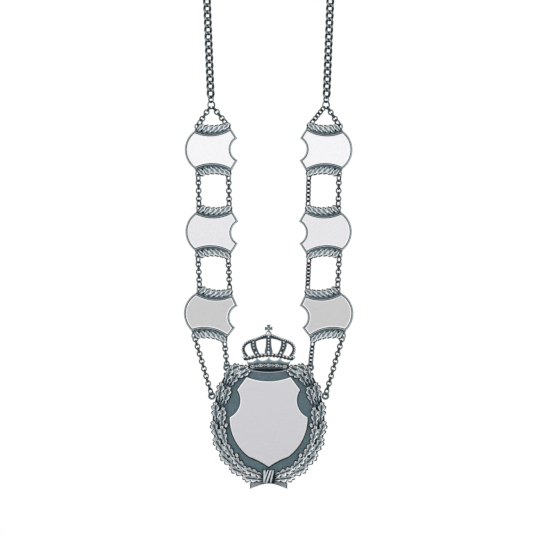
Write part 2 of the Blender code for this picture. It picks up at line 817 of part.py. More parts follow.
def circlet_outline():
    """Outline of the crown's circlet: an arched foot and a top edge that rises to five points."""
    foot_x = CIRCLET_FOOT_SHARE * CROWN_HALF_WIDTH
    top_x = CIRCLET_TOP_SHARE * CROWN_HALF_WIDTH
    foot_z = crown_shoulder() - CIRCLET_HEIGHT
    outline = arc_points((-foot_x, foot_z), (foot_x, foot_z), CIRCLET_ARCH, 4)
    outline += [(foot_x, foot_z)]
    peaks = []
    for peak in range(CIRCLET_POINTS):
        across = 1.0 - 2.0 * peak / (CIRCLET_POINTS - 1)
        peaks.append((across * top_x, crown_shoulder() + CIRCLET_ARCH * (1.0 - across * across)))
    for peak, following in zip(peaks, peaks[1:]):
        outline += arc_points(peak, following, CIRCLET_SCALLOP, 3)
    return outline + [peaks[-1]]


def cross_outline(orb_z):
    """Outline of the small cross on the orb."""
    foot_z = orb_z + 0.7 * ORB_RADIUS
    half_bar = 0.5 * CROSS_BAR
    top_z = orb_z + CROSS_HEIGHT
    middle_z = top_z - CROSS_ARM
    right = [
        (half_bar, foot_z),
        (half_bar, middle_z - half_bar),
        (CROSS_ARM, middle_z - CROSS_BAR),
        (CROSS_ARM, middle_z + CROSS_BAR),
        (half_bar, middle_z + half_bar),
        (CROSS_BAR, top_z),
    ]
    return right + mirrored(right)


def build_crown(place, back):
    """The crown's bars, circlet, orb and cross as solids that overlap."""
    back -= RELIEF_STEP
    front = back - CROWN_THICKNESS
    ridge = front - CROWN_RIDGE
    pearl_row = [(-x, z, width) for x, z, width in reversed(crown_bar(PEARL_ROW))][:-1]
    bars = (
        pearl_row + crown_bar(PEARL_ROW),
        crown_bar(OUTER_ARCH),
        crown_bar(OUTER_ARCH, -1.0),
        crown_bar(MIDDLE_ARCH),
        crown_bar(MIDDLE_ARCH, -1.0),
        crown_bar(CENTRE_ARCH),
    )
    solids = []
    for index, sections in enumerate(bars):
        layer = RELIEF_STEP * (index + 1)
        solids.append(ridged_bar("crown_bar", sections, back - layer, front - layer, ridge - layer, place))
    circlet = circlet_outline()
    levels = ((circlet, back), (circlet, front), (inset(circlet, CIRCLET_BEVEL), ridge))
    solids.append(stacked_solid("crown_circlet", levels, place))
    orb_z = crown_shoulder() + CROWN_RISE
    orb = disc_outline((0.0, orb_z), ORB_RADIUS)
    orb_top = disc_outline((0.0, orb_z), 0.5 * ORB_RADIUS)
    levels = ((orb, back), (orb, front), (orb_top, front - 0.7 * ORB_RADIUS))
    solids.append(stacked_solid("crown_orb", levels, place))
    cross = cross_outline(orb_z)
    solids.append(stacked_solid("crown_cross", ((cross, back - SEAT_GAP), (cross, front + SEAT_GAP)), place))
    return solids


def build_ribbon(place, back, front):
    """The knot round the wreath's foot and its two flared tails."""
    knot_top = KNOT_LAP - FIELD_DEPTH_DOWN
    rim = -MEDALLION_DEPTH_DOWN
    knot = [
        (-KNOT_HALF_WIDTH, knot_top),
        (-KNOT_HALF_WIDTH, rim),
        (KNOT_HALF_WIDTH, rim),
        (KNOT_HALF_WIDTH, knot_top),
    ]
    knot_front = front - KNOT_HEIGHT
    levels = ((knot, back), (knot, 0.5 * (front + knot_front)), (inset(knot, KNOT_BEVEL), knot_front))
    solids = [stacked_solid("ribbon_knot", levels, place)]
    right = [
        (0.55 * TAIL_TIP_X, rim - 0.5 * (TAIL_ARCH_DROP + TAIL_FOOT_DROP) + 0.3 * TAIL_FOOT_DROP),
        (TAIL_FOOT_X, rim - TAIL_FOOT_DROP),
        (TAIL_TIP_X, rim - TAIL_TIP_DROP),
        (0.5 * TAIL_TIP_X, rim + TAIL_ROOT),
    ]
    outline = [(0.0, rim - TAIL_ARCH_DROP)] + right + mirrored(right)
    levels = ((outline, back - SEAT_GAP), (outline, front - TAIL_HEIGHT))
    solids.append(stacked_solid("ribbon_tails", levels, place))
    return solids


def shield_outline():
    """Counter-clockwise outline of the shield, which follows the field."""
    corners = []
    for corner in SHIELD_CORNERS:
        height = FIELD_RISE_UP if corner.z > 0.0 else FIELD_DEPTH_DOWN
        corners.append((corner.x * FIELD_HALF_WIDTH, corner.z * height))
    top = corners[-1]
    right = []
    for corner, start, end in zip(SHIELD_CORNERS, corners, corners[1:]):
        right += arc_points(start, end, corner.rise * FIELD_HALF_WIDTH, corner.spans)
    last = SHIELD_CORNERS[-1]
    top_edge = arc_points(top, (-top[0], top[1]), last.rise * FIELD_HALF_WIDTH, last.spans)
    return right + top_edge + [(-top[0], top[1])] + mirrored(right[1:])


def build_shield(centre, material):
    """The bright plate with a bevelled edge in front of the medallion's field."""
    back = -0.5 * MEDALLION_THICKNESS - SEAT_GAP
    front = back - SHIELD_THICKNESS
    outline = shield_outline()
    levels = (
        (outline, back),
        (outline, front + SHIELD_BEVEL_DROP),
        (inset(outline, SHIELD_BEVEL), front),
    )

    def place(point):
        return centre.x + point[0], centre.z + point[1]

    return stacked_solid("medallion_shield", levels, place, material)


def medallion_lug(side, share, standoff):
    """Middle and root of one of the medallion's lugs: out from the wreath's edge, and in under its leaves."""
    edge = Vector(wreath_point(side * share, 0.0))
    outward = Vector((edge.x / MEDALLION_HALF_WIDTH**2, edge.y / MEDALLION_RISE_UP**2)).normalized()
    return edge + outward * standoff, edge - outward * MEDALLION_LUG_ROOT


def build_medallion(centre, material):
    """The medallion casting: sunken field, oak wreath, crown, ribbon and four pierced lugs."""

    def place(point):
        return centre.x + point[0], centre.z + point[1]

    back = 0.5 * MEDALLION_THICKNESS
    front = -0.5 * MEDALLION_THICKNESS
    levels = (
        (wreath_ring(0.0), back),
        (wreath_ring(0.0), front),
        (wreath_ring(0.5), front - WREATH_CREST),
        (wreath_ring(0.96), front - WREATH_INNER_HEIGHT),
        (wreath_ring(1.0), front),
    )
    casting = stacked_solid("medallion", levels, place, material)
    others = build_wreath_leaves(place, front)
    others += build_crown(place, back)
    others += build_ribbon(place, back, front)
    cutters = []
    for side in (-1.0, 1.0):
        for share, standoff in ((UPPER_LUG_SHARE, UPPER_LUG_STANDOFF), (SIDE_LUG_SHARE, SIDE_LUG_STANDOFF)):
            middle, root = medallion_lug(side, share, standoff)
            lug, hole = pierced_lug(
                "medallion", middle, MEDALLION_LUG_RADIUS, MEDALLION_LUG_HOLE, root, place
            )
            others.append(lug)
            cutters.append(hole)
    join_solids(casting, others)
    return merge_flat_faces(join_solids(casting, cutters, "DIFFERENCE"))


def plate_drop(row):
    """Drop of a plate's middle below the apex ring: plates and strands by turns."""
    lug_z = plate_lug(1.0, 1.0)[1]
    return ARM_SPAN + lug_z + (row - 1) * (2.0 * lug_z + STRAND_SPAN)


def medallion_middle():
    """Middle of the medallion, whose upper lugs hang on the inner strands of the last plates."""
    lowest_hole = plate_drop(len(PLATE_PLACES)) + plate_lug(1.0, 1.0)[1]
    upper_lug = medallion_lug(1.0, UPPER_LUG_SHARE, UPPER_LUG_STANDOFF)[0]
    return Vector((0.0, 0.0, apex_middle(1.0).z - lowest_hole - MEDALLION_SPAN - upper_lug.y))


def build_side(side, label, casting, chain):
    """The rings, plates and strands on one side, down to the medallion's lugs."""
    build_neck_rings(side, label, chain)
    apex = apex_middle(side)
    holders = {name: (apex, 0.5 * APEX_RING_DIAMETER) for name in ("outer", "inner")}
    for row, x, tilt in PLATE_PLACES:
        centre = Vector((x * APEX_X, 0.0, apex.z - plate_drop(row)))
        place = plate_place(side, centre, tilt)
        build_plate(f"plate_{label}_{row}", place, casting)
        for name, end in (("outer", 1.0), ("inner", -1.0)):
            top_x, top_z = place(plate_lug(end, 1.0))
            foot_x, foot_z = place(plate_lug(end, -1.0))
            top_hole = (Vector((top_x, 0.0, top_z)), PLATE_LUG_HOLE)
            build_strand(
                f"strand_{label}_{row}_{name}", holders[name], top_hole, row > 1, True, side, chain
            )
            holders[name] = (Vector((foot_x, 0.0, foot_z)), PLATE_LUG_HOLE)
    middle = medallion_middle()
    upper, _ = medallion_lug(side, UPPER_LUG_SHARE, UPPER_LUG_STANDOFF)
    lateral, _ = medallion_lug(side, SIDE_LUG_SHARE, SIDE_LUG_STANDOFF)
    inner_end = (middle + Vector((upper.x, 0.0, upper.y)), MEDALLION_LUG_RADIUS)
    outer_end = (middle + Vector((lateral.x, 0.0, lateral.y)), MEDALLION_LUG_HOLE)
    build_strand(f"strand_{label}_4_inner", holders["inner"], inner_end, True, False, side, chain)
    start = (holders["outer"][0], PLATE_LUG_RADIUS)
    build_strand(f"strand_{label}_4_outer", start, outer_end, False, True, side, chain)


def main():
    """Build the whole chain."""
    clear_scene()
    casting = finish("oxidised_silver", (0.32, 0.37, 0.40), 0.35, 1.0)
    bright = finish("satin_silver", (0.80, 0.80, 0.82), 0.3, 1.0)
    chain = finish("dark_steel", (0.16, 0.20, 0.23), 0.3, 1.0)
    build_neck_chain(chain)
    for side, label in ((-1.0, "left"), (1.0, "right")):
        build_side(side, label, casting, chain)
    build_medallion(medallion_middle(), casting)
    build_shield(medallion_middle(), bright)


main()
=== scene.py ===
"""Looks of a shooting guild chain: neck chain, link strands, six engraving plates and a crowned medallion.

Metres, +Z up. The chain hangs in the XZ plane with its fronts towards -Y. In a piece's own plane u runs
across and v runs up; on a plate u points outwards, away from the middle of the chain. A value on each vertex
says how far the dark patina has been rubbed off there, from 0 in the recesses to 1 on the crests. It also
holds
painted light: partly rubbed wear and partly a painted highlight on the wires' front and back crests, painted
shade on links seen edge on and towards the leaves' stems, and painted shadow round the leaves and the shield.
"""

import logging
import math
from collections.abc import Iterable, Sequence
from dataclasses import dataclass
from enum import Enum

import bmesh
import bpy
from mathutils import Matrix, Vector


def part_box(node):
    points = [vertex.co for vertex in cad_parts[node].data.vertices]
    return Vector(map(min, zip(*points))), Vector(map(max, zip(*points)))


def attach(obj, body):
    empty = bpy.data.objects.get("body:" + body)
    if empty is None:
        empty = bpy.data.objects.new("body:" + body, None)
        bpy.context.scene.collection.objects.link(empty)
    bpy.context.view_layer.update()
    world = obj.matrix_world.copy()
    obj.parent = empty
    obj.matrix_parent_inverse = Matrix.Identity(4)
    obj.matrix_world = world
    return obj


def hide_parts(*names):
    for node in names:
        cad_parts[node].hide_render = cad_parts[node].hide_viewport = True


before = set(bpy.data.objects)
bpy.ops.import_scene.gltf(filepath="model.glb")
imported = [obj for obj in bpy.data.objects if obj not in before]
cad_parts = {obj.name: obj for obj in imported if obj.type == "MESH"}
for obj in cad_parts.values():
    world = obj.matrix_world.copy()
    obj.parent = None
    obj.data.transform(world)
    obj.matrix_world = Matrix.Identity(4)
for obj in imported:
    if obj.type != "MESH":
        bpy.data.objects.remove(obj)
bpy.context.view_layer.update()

MM = 0.001
BODY = "root"
SHARP_ANGLE = math.radians(38.0)
MERGE_DISTANCE = 0.002 * MM
TINY = 1e-9
MITRE_LIMIT = 0.4
BACK_RUB = 0.3
PEARL_SIDES = 12
PEARL_RINGS = 7
PEARL_SHADE = (0.05, 0.6)
CORD_SIDES = 6
CORD_SHADE = (-0.2, 0.8)
EYE_STEPS = 32
EYE_SIDES = 12
EYE_SHADE = (0.2, 0.95)
NUDGE = 0.05
SATIN_DULL = 0.93

Socket = bpy.types.NodeSocket
Material = bpy.types.Material
Vertex = bmesh.types.BMVert
Point = tuple[float, float]
Triple = tuple[float, float, float]
Outline = list[Point]
Rows = tuple[Triple, ...]
Tiers = tuple[tuple[float, ...], ...]
Stops = tuple[tuple[float, Triple], ...]

log = logging.getLogger("guild_chain")


class Side(Enum):
    """The two halves of the chain, by the sign of their x."""

    LEFT = -1.0
    RIGHT = 1.0

    @property
    def label(self) -> str:
        """The word that the frame's nodes use for this half."""
        return self.name.lower()


class Slot(Enum):
    """The record's material slots."""

    CASTING = "antique_silver"
    SATIN = "satin_silver"
    WIRE = "dark_chain"


def smooth_step(low: float, high: float, value: float) -> float:
    """Ease a value from 0 at low to 1 at high."""
    share = min(max((value - low) / (high - low), 0.0), 1.0)
    return share * share * (3.0 - 2.0 * share)


def between(start: float, end: float, share: float) -> float:
    """The value at a share of the way from start to end."""
    return start + (end - start) * share


def bearing(run: Vector) -> float:
    """Direction of a run in u and v, turned from u towards v."""
    return math.atan2(run.y, run.x)


def both_ways(half: Sequence[Triple]) -> list[Triple]:
    """A table that starts on the middle line, behind its own mirror image."""
    return [(-place, *rest) for place, *rest in reversed(half[1:])] + list(half)


def circle(steps: int) -> Outline:
    """Points on a circle of radius 1, counter-clockwise."""
    turns = [2.0 * math.pi * step / steps for step in range(steps)]
    return [(math.cos(turn), math.sin(turn)) for turn in turns]


def arc(start: Point, end: Point, rise: float, spans: int) -> Outline:
    """Points on the arc from start to just before end.

    Args:
        start: First point.
        end: Point where the arc would end.
        rise: Height of the arc to the left of its chord.
        spans: How many spans the arc is drawn with.

    Returns:
        The points, start included and end left out.
    """
    chord = math.dist(start, end)
    along = Vector((end[0] - start[0], end[1] - start[1])) / chord
    left = Vector((-along.y, along.x))
    if abs(rise) < TINY:
        return [tuple(Vector(start) + along * chord * step / spans) for step in range(spans)]
    half_sweep = 2.0 * math.atan(2.0 * rise / chord)
    radius = chord / (2.0 * math.sin(half_sweep))
    points = []
    for step in range(spans):
        angle = half_sweep * (1.0 - 2.0 * step / spans)
        forward = 0.5 * chord - radius * math.sin(angle)
        sideways = radius * (math.cos(angle) - math.cos(half_sweep))
        points.append(tuple(Vector(start) + along * forward + left * sideways))
    return points


def mirrored(points: Sequence[Point]) -> Outline:
    """The same points on the other side of the middle line, in reverse order."""
    return [(-u, v) for u, v in reversed(points)]


def inset(outline: Outline, distance: float) -> Outline:
    """Move a counter-clockwise outline inwards; points that would cross at a corner fall together there.

    Args:
        outline: The outline's points.
        distance: How far in each side moves.

    Returns:
        As many points as before.
    """
    points = [Vector(point) for point in outline]
    count = len(points)
    moved = []
    crossings = []
    for index, point in enumerate(points):
        before = (point - points[index - 1]).normalized()
        after = (points[(index + 1) % count] - point).normalized()
        normal_before = Vector((-before.y, before.x))
        bisector = (normal_before + Vector((-after.y, after.x))).normalized()
        cosine = min(max(bisector.dot(normal_before), MITRE_LIMIT), 1.0)
        moved.append(tuple(point + bisector * (distance / cosine)))
        turn = before.x * after.y - before.y * after.x
        crossings.append(distance * math.copysign(math.sqrt(1.0 / cosine**2 - 1.0), turn))
    for index, crossing in enumerate(crossings):
        for step in (-1, 1):
            beside = (index + step) % count
            while (points[beside] - points[index]).length < crossing:
                moved[beside] = moved[index]
                beside = (beside + step) % count
    return moved


def through(points: Sequence[Sequence[float]], spans: int) -> list[tuple[float, ...]]:
    """A smooth run through a few chosen points, each of any number of values.

    Args:
        points: The chosen points.
        spans: Spans drawn between two neighbours.

    Returns:
        The points of the run, both ends included.
    """
    run = []
    padded = (points[0], *points, points[-1])
    for near in zip(padded, padded[1:], padded[2:], padded[3:]):
        for step in range(spans):
            t = step / spans
            weights = (
                0.5 * (-t + 2.0 * t**2 - t**3),
                0.5 * (2.0 - 5.0 * t**2 + 3.0 * t**3),
                0.5 * (t + 4.0 * t**2 - 3.0 * t**3),
                0.5 * (t**3 - t**2),
            )
            run.append(tuple(sum(w * value for w, value in zip(weights, values)) for values in zip(*near)))
    return [*run, tuple(points[-1])]


def direction_at(points: Sequence[Sequence[float]], index: int, closed: bool = False) -> Vector:
    """Direction of a run of points at one of them.

    Args:
        points: u, v and further values of each point.
        index: Which of them.
        closed: Whether the run goes back to its start.

    Returns:
        The direction in u and v.
    """
    last = len(points) - 1
    ahead = points[(index + 1) % (last + 1) if closed else min(index + 1, last)]
    behind = points[index - 1 if closed else max(index - 1, 0)]
    return Vector((ahead[0] - behind[0], ahead[1] - behind[1])).normalized()


def square_to(along: Vector, turn: float = 0.0) -> Vector:
    """The direction square to along, in the chain's plane or turned out of it."""
    return Vector((-along.z * math.cos(turn), math.sin(turn), along.x * math.cos(turn)))


@dataclass(frozen=True)
class Seat:
    """Where a flat piece hangs: its middle, its half of the chain, and the outward tilt of its foot."""

    x: float
    z: float
    side: float = 1.0
    tilt: float = 0.0

    def at(self, u: float, v: float, y: float = 0.0) -> Vector:
        """A place of the piece's own plane, in the chain's frame.

        Args:
            u: Distance across from the piece's middle.
            v: Distance up from the piece's middle.
            y: Depth, negative towards the front.

        Returns:
            The place.
        """
        cosine = math.cos(self.tilt)
        sine = math.sin(self.tilt)
        x = self.side * (self.x + u * cosine - v * sine)
        return Vector((x, y, self.z + u * sine + v * cosine))


@dataclass(frozen=True)
class Level:
    """One outline of a stacked solid at its depth, with its rub and the finish of the wall behind it."""

    outline: Outline
    y: float
    rub_and_light: float = 0.5
    finish: int = 0


def drawn_in(outline: Outline, tiers: Tiers) -> list[Level]:
    """The levels of a solid whose outline is drawn in tier by tier.

    Args:
        outline: The counter-clockwise outline.
        tiers: Inset and depth in millimetres, rub and, where it isn't the first, finish of each tier.

    Returns:
        The levels, back to front.
    """
    levels = []
    for distance, depth, *look in tiers:
        levels.append(Level(inset(outline, distance * MM) if distance else outline, depth * MM, *look))
    return levels


class Mesh:
    """A mesh under construction, whose vertices carry the rub value."""

    def __init__(self) -> None:
        """Start an empty mesh."""
        self.bm = bmesh.new()
        self.rub_and_light = self.bm.verts.layers.float.new("rub_and_light")

    def vertex(self, place: Vector, rub_and_light: float) -> Vertex:
        """Add a vertex and return it.

        Args:
            place: Where it lies.
            rub_and_light: How far the patina is rubbed off there; on some pieces it also holds painted
                highlight and shade.

        Returns:
            The vertex.
        """
        vertex = self.bm.verts.new(place)
        vertex[self.rub_and_light] = rub_and_light
        return vertex

    def face(self, corners: Sequence[Vertex], finish: int = 0, smooth: bool = True) -> None:
        """Add a face.

        Args:
            corners: Its vertices.
            finish: Number of its finish.
            smooth: Whether it is shaded smooth.
        """
        face = self.bm.faces.new(corners)
        face.material_index = finish
        face.smooth = smooth

    def loft(
        self, rings: Sequence[Sequence[Vertex]], looped: bool = False, finishes: Sequence[int] = ()
    ) -> None:
        """Join rings of equal length by walls.

        Args:
            rings: The rings' vertices.
            looped: Whether the last ring is joined to the first.
            finishes: Finish of each wall, where it isn't the first one throughout.
        """
        for number in range(len(rings) - (not looped)):
            behind = rings[number]
            ahead = rings[(number + 1) % len(rings)]
            finish = finishes[number] if finishes else 0
            for index, corner in enumerate(behind):
                following = (index + 1) % len(behind)
                self.face((corner, behind[following], ahead[following], ahead[index]), finish)

    def finished(self, name: str, finishes: Sequence[Material]) -> bpy.types.Object:
        """Close the mesh and link it as an object.

        Args:
            name: The object's name.
            finishes: Its materials, in the order of the faces' finish numbers.

        Returns:
            The object.
        """
        bm = self.bm
        bmesh.ops.remove_doubles(bm, verts=bm.verts[:], dist=MERGE_DISTANCE)
        bmesh.ops.recalc_face_normals(bm, faces=bm.faces[:])
        flat = [index for index, face in enumerate(bm.faces) if not face.smooth]
        mesh = bpy.data.meshes.new(name)
        bm.to_mesh(mesh)
        bm.free()
        mesh.set_sharp_from_angle(angle=SHARP_ANGLE)
        for index in flat:
            mesh.polygons[index].use_smooth = False
        for finish in finishes:
            mesh.materials.append(finish)
        thing = bpy.data.objects.new(name, mesh)
        bpy.context.scene.collection.objects.link(thing)
        return thing


class Relief(Mesh):
    """A mesh modelled in the upright plane of one seat and relieved towards the front."""

    def __init__(self, seat: Seat) -> None:
        """Start an empty mesh on a seat."""
        super().__init__()
        self.seat = seat

    def point(self, u: float, v: float, y: float, rub_and_light: float) -> Vertex:
        """Add a vertex of the seat's plane, rubbed that far, with any painted light that the value carries.
        """
        return self.vertex(self.seat.at(u, v, y), rub_and_light)

    def stack(self, levels: Sequence[Level], front_finish: int = 0) -> None:
        """Add a closed solid with a flat back and front.

        Args:
            levels: Its outlines of equal length, back to front.
            front_finish: Finish of its front.
        """
        rings = [[self.point(u, v, level.y, level.rub_and_light) for u, v in level.outline] for level in levels]
        self.loft(rings, finishes=[level.finish for level in levels[1:]])
        self.face(rings[0], smooth=False)
        self.face(rings[-1], front_finish, smooth=False)

    def sheet(self, rows: Sequence[Sequence[tuple[float, float, float, float]]], back: float) -> None:
        """Add a closed solid whose front is a grid and whose back is flat.

        Args:
            rows: Rows of equal length of u, v, y and rub.
            back: Depth of the flat back.
        """
        rings = []
        for row in rows:
            foot = [(end[0], end[1], back, BACK_RUB) for end in (row[-1], row[0])]
            rings.append([self.point(*point) for point in (*row, *foot)])
        self.loft(rings)
        self.face(rings[0])
        self.face(rings[-1])

    def pearl(
        self, u: float, v: float, y: float, radius: float, rub_and_light: float = 1.0, stretch: float = 1.0
    ) -> None:
        """Add a small bead.

        Args:
            u: Its middle across.
            v: Its middle up.
            y: Depth of its middle.
            radius: Its radius.
            rub_and_light: Rub on its front; its sides are darker.
            stretch: Its height as a share of its width.
        """
        rings = []
        for step in range(1, PEARL_RINGS):
            tilt = math.pi * step / PEARL_RINGS
            reach = radius * math.sin(tilt)
            facing = math.cos(tilt)
            shade = rub_and_light * smooth_step(*PEARL_SHADE, facing)
            places = [(u + reach * across, v + reach * up * stretch) for across, up in circle(PEARL_SIDES)]
            rings.append([self.point(*place, y - radius * facing, shade) for place in places])
        self.loft(rings)
        for ring, end, shade in ((rings[0], y - radius, rub_and_light), (rings[-1], y + radius, 0.0)):
            pole = self.point(u, v, end, shade)
            for corner, following in zip(ring, (*ring[1:], ring[0])):
                self.face((pole, corner, following))

    def cord(self, points: Sequence[Triple], radius: float, rub_and_light: float, closed: bool = False) -> None:
        """Add a raised round line.

        Args:
            points: u, v and y of its middle line.
            radius: Half its thickness.
            rub_and_light: Rub along its crest.
            closed: Whether it runs back to its start.
        """
        rings = []
        for index, (u, v, y) in enumerate(points):
            along = direction_at(points, index, closed)
            ring = []
            for side, lift in circle(CORD_SIDES):
                shade = rub_and_light * smooth_step(*CORD_SHADE, lift)
                across = radius * side
                ring.append(self.point(u - along.y * across, v + along.x * across, y - radius * lift, shade))
            rings.append(ring)
        self.loft(rings, closed)
        if not closed:
            self.face(rings[0])
            self.face(rings[-1])

    def eye(
        self, middle: Sequence[float], hole: float, radius: float, half_thickness: float, rub_and_light: float
    ) -> None:
        """Add a pierced lug: a flat ring of rounded section.

        Args:
            middle: Middle of its hole.
            hole: Radius of the hole.
            radius: Outer radius.
            half_thickness: Half its thickness.
            rub_and_light: Rub on its front.
        """
        rings = []
        for across, up in circle(EYE_STEPS):
            ring = []
            for outward, lift in circle(EYE_SIDES):
                reach = 0.5 * (hole + radius + (radius - hole) * outward)
                shade = rub_and_light * smooth_step(*EYE_SHADE, lift)
                place = (middle[0] + reach * across, middle[1] + reach * up)
                ring.append(self.point(*place, -half_thickness * lift, shade))
            rings.append(ring)
        self.loft(rings, looped=True)


def hand_over(thing: bpy.types.Object, nodes: Iterable[str]) -> None:
    """Let a finished piece ride on the chain's body in place of its nodes, and report it.

    Args:
        thing: The piece.
        nodes: Nodes of the frame that it stands for.
    """
    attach(thing, BODY)
    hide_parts(*nodes)
    log.info("%s: %d vertices", thing.name, len(thing.data.vertices))


class Graph:
    """A node tree under construction."""

    def __init__(self, tree: bpy.types.NodeTree) -> None:
        """Work on that tree."""
        self.tree = tree

    def join(self, source: Socket, target: Socket) -> None:
        """Link an output to an input."""
        self.tree.links.new(source, target)

    def added(self, first: Socket, second: Socket) -> Socket:
        """The sum of two outputs.

        Args:
            first: One output.
            second: The other.

        Returns:
            The sum's output.
        """
        node = self.tree.nodes.new("ShaderNodeMath")
        self.join(first, node.inputs[0])
        self.join(second, node.inputs[1])
        return node.outputs[0]

    def ranged(
        self, value: Socket, start: float, end: float, low: float = 0.0, high: float = 1.0
    ) -> Socket:
        """A value between low and high turned into one between start and end.

        Args:
            value: The value's output.
            start: What low becomes.
            end: What high becomes.
            low: Lower bound.
            high: Upper bound.

        Returns:
            The turned value's output.
        """
        node = self.tree.nodes.new("ShaderNodeMapRange")
        for name, bound in (("From Min", low), ("From Max", high), ("To Min", start), ("To Max", end)):
            node.inputs[name].default_value = bound
        self.join(value, node.inputs["Value"])
        return node.outputs["Result"]


class Recipe(Graph):
    """A Principled material's node tree, with its texture coordinates in metres."""

    def __init__(self, name: str) -> None:
        """Start a material.

        Args:
            name: The material's name.
        """
        self.material = bpy.data.materials.new(name)
        self.material.use_nodes = True
        super().__init__(self.material.node_tree)
        self.shader = self.tree.nodes["Principled BSDF"]
        self.place = self.tree.nodes.new("ShaderNodeTexCoord").outputs["Object"]

    def feed(self, name: str, value: Socket) -> None:
        """Link an output to the shader's socket of that name."""
        self.join(value, self.shader.inputs[name])

    def noise(self, scale: float, detail: float, stretch: Triple | None = None) -> Socket:
        """A noise value.

        Args:
            scale: Features per metre.
            detail: Octaves.
            stretch: Further scale in each direction, or None.

        Returns:
            The noise's output.
        """
        place = self.place
        if stretch:
            mapping = self.tree.nodes.new("ShaderNodeMapping")
            mapping.inputs["Scale"].default_value = stretch
            self.join(place, mapping.inputs["Vector"])
            place = mapping.outputs["Vector"]
        texture = self.tree.nodes.new("ShaderNodeTexNoise")
        texture.inputs["Scale"].default_value = scale
        texture.inputs["Detail"].default_value = detail
        self.join(place, texture.inputs["Vector"])
        return texture.outputs["Fac"]

    def rub_and_light(self) -> Socket:
        """The mesh's rub value.

        Returns:
            Its output.
        """
        attribute = self.tree.nodes.new("ShaderNodeAttribute")
        attribute.attribute_name = "rub_and_light"
        return attribute.outputs["Fac"]

    def ramp(self, value: Socket, stops: Stops) -> Socket:
        """Colours along a value.

        Args:
            value: The value, from 0 to 1.
            stops: Places and their colours, in order.

        Returns:
            The colour.
        """
        node = self.tree.nodes.new("ShaderNodeValToRGB")
        elements = node.color_ramp.elements
        while len(elements) < len(stops):
            elements.new(0.5)
        for element, (place, colour) in zip(elements, stops):
            element.position = place
            element.color = (*colour, 1.0)
        self.join(value, node.inputs["Fac"])
        return node.outputs["Color"]

    def bump(self, height: Socket, strength: float, distance: float) -> None:
        """Roughen the surface by a height map.

        Args:
            height: The height, from 0 to 1.
            strength: Share of the bump that shows.
            distance: Height of a full step.
        """
        node = self.tree.nodes.new("ShaderNodeBump")
        node.inputs["Strength"].default_value = strength
        node.inputs["Distance"].default_value = distance
        self.join(height, node.inputs["Height"])
        self.feed("Normal", node.outputs["Normal"])


@dataclass(frozen=True)
class Finish:
    """A metal whose colours run along its grain or, where the grain sways the rub, along the rub."""

    stops: Stops = ()
    roughness: Point = (0.3, 0.4)
    metallic: float = 1.0
    grain: float = 1.0
    detail: float = 3.0
    stretch: Triple | None = None
    sway: float = 0.0
    gloss_by_rub: bool = False
    bump_grain: float = 0.0
    bump_detail: float = 3.0
    bump_strength: float = 0.0
    bump_height: float = 0.0

    def material(self, name: str) -> Material:
        """Mix the finish.

        Args:
            name: The material's name.

        Returns:
            The material.
        """
        recipe = Recipe(name)
        grain = recipe.noise(self.grain, self.detail, self.stretch)
        value = grain
        if self.sway:
            value = recipe.added(recipe.rub_and_light(), recipe.ranged(grain, -self.sway, self.sway))
        recipe.feed("Base Color", recipe.ramp(value, self.stops))
        recipe.feed("Roughness", recipe.ranged(value if self.gloss_by_rub else grain, *self.roughness))
        recipe.shader.inputs["Metallic"].default_value = self.metallic
        if self.bump_strength:
            height = recipe.noise(self.bump_grain, self.bump_detail) if self.bump_grain else grain
            recipe.bump(height, self.bump_strength, self.bump_height)
        return recipe.material


@dataclass(frozen=True)
class AntiqueSilver(Finish):
    """Cast silver with a dark blue-grey patina that is rubbed off its crests; its colour also carries the
    painted shade and shadow on the leaves and round the shield.
    """

    stops: Stops = (
        (0.1, (0.012, 0.02, 0.026)),
        (0.32, (0.07, 0.11, 0.13)),
        (0.6, (0.26, 0.34, 0.38)),
        (0.97, (0.93, 0.94, 0.95)),
    )
    roughness: Point = (0.5, 0.26)
    metallic: float = 0.9
    grain: float = 700.0
    detail: float = 4.0
    sway: float = 0.14
    gloss_by_rub: bool = True
    bump_grain: float = 2600.0
    bump_strength: float = 0.25
    bump_height: float = 0.06 * MM


@dataclass(frozen=True)
class SatinSilver(Finish):
    """Silver brushed in one direction to a satin sheen."""

    roughness: Point = (0.29, 0.39)
    stretch: Triple = (90.0, 90.0, 5200.0)
    bump_strength: float = 0.1
    bump_height: float = 0.02 * MM


@dataclass(frozen=True)
class PolishedEdge(Finish):
    """Bright cut silver along a bevel."""

    stops: Stops = ((0.3, (0.9312, 0.9312, 0.9408)), (0.7, (0.97, 0.97, 0.98)))
    roughness: Point = (0.38, 0.46)
    grain: float = 1500.0


@dataclass(frozen=True)
class SpeckledField(Finish):
    """The medallion's sunken ground: sooted metal with a fine warm speckle."""

    stops: Stops = ((0.36, (0.055, 0.115, 0.145)), (0.58, (0.15, 0.24, 0.28)), (0.72, (0.32, 0.26, 0.26)))
    roughness: Point = (0.62, 0.46)
    metallic: float = 0.45
    grain: float = 3200.0
    bump_strength: float = 0.5
    bump_height: float = 0.12 * MM


@dataclass(frozen=True)
class DarkWire(Finish):
    """Blackened silver wire with a soft shine; its colour follows the wires' rub and their painted highlight
    and shade.
    """

    stops: Stops = ((0.15, (0.05, 0.066, 0.075)), (0.95, (0.33, 0.4, 0.435)))
    roughness: Point = (0.2, 0.36)
    grain: float = 420.0
    sway: float = 0.2
    bump_grain: float = 1800.0
    bump_strength: float = 0.2
    bump_height: float = 0.05 * MM


def satin_stops(colour: Triple) -> Stops:
    """A satin's colour and, in the grooves of its brushing, a duller one."""
    return ((0.3, tuple(SATIN_DULL * value for value in colour)), (0.7, colour))


@dataclass(frozen=True)
class Finishes:
    """The finishes that the pieces share."""

    casting: Material
    # One copy of the satin for each row of plates, painted lighter at the top and darker lower down as light
    # and shade.
    satin: tuple[Material, ...]
    brushed: Material
    edge: Material
    field: Material
    wire: Material


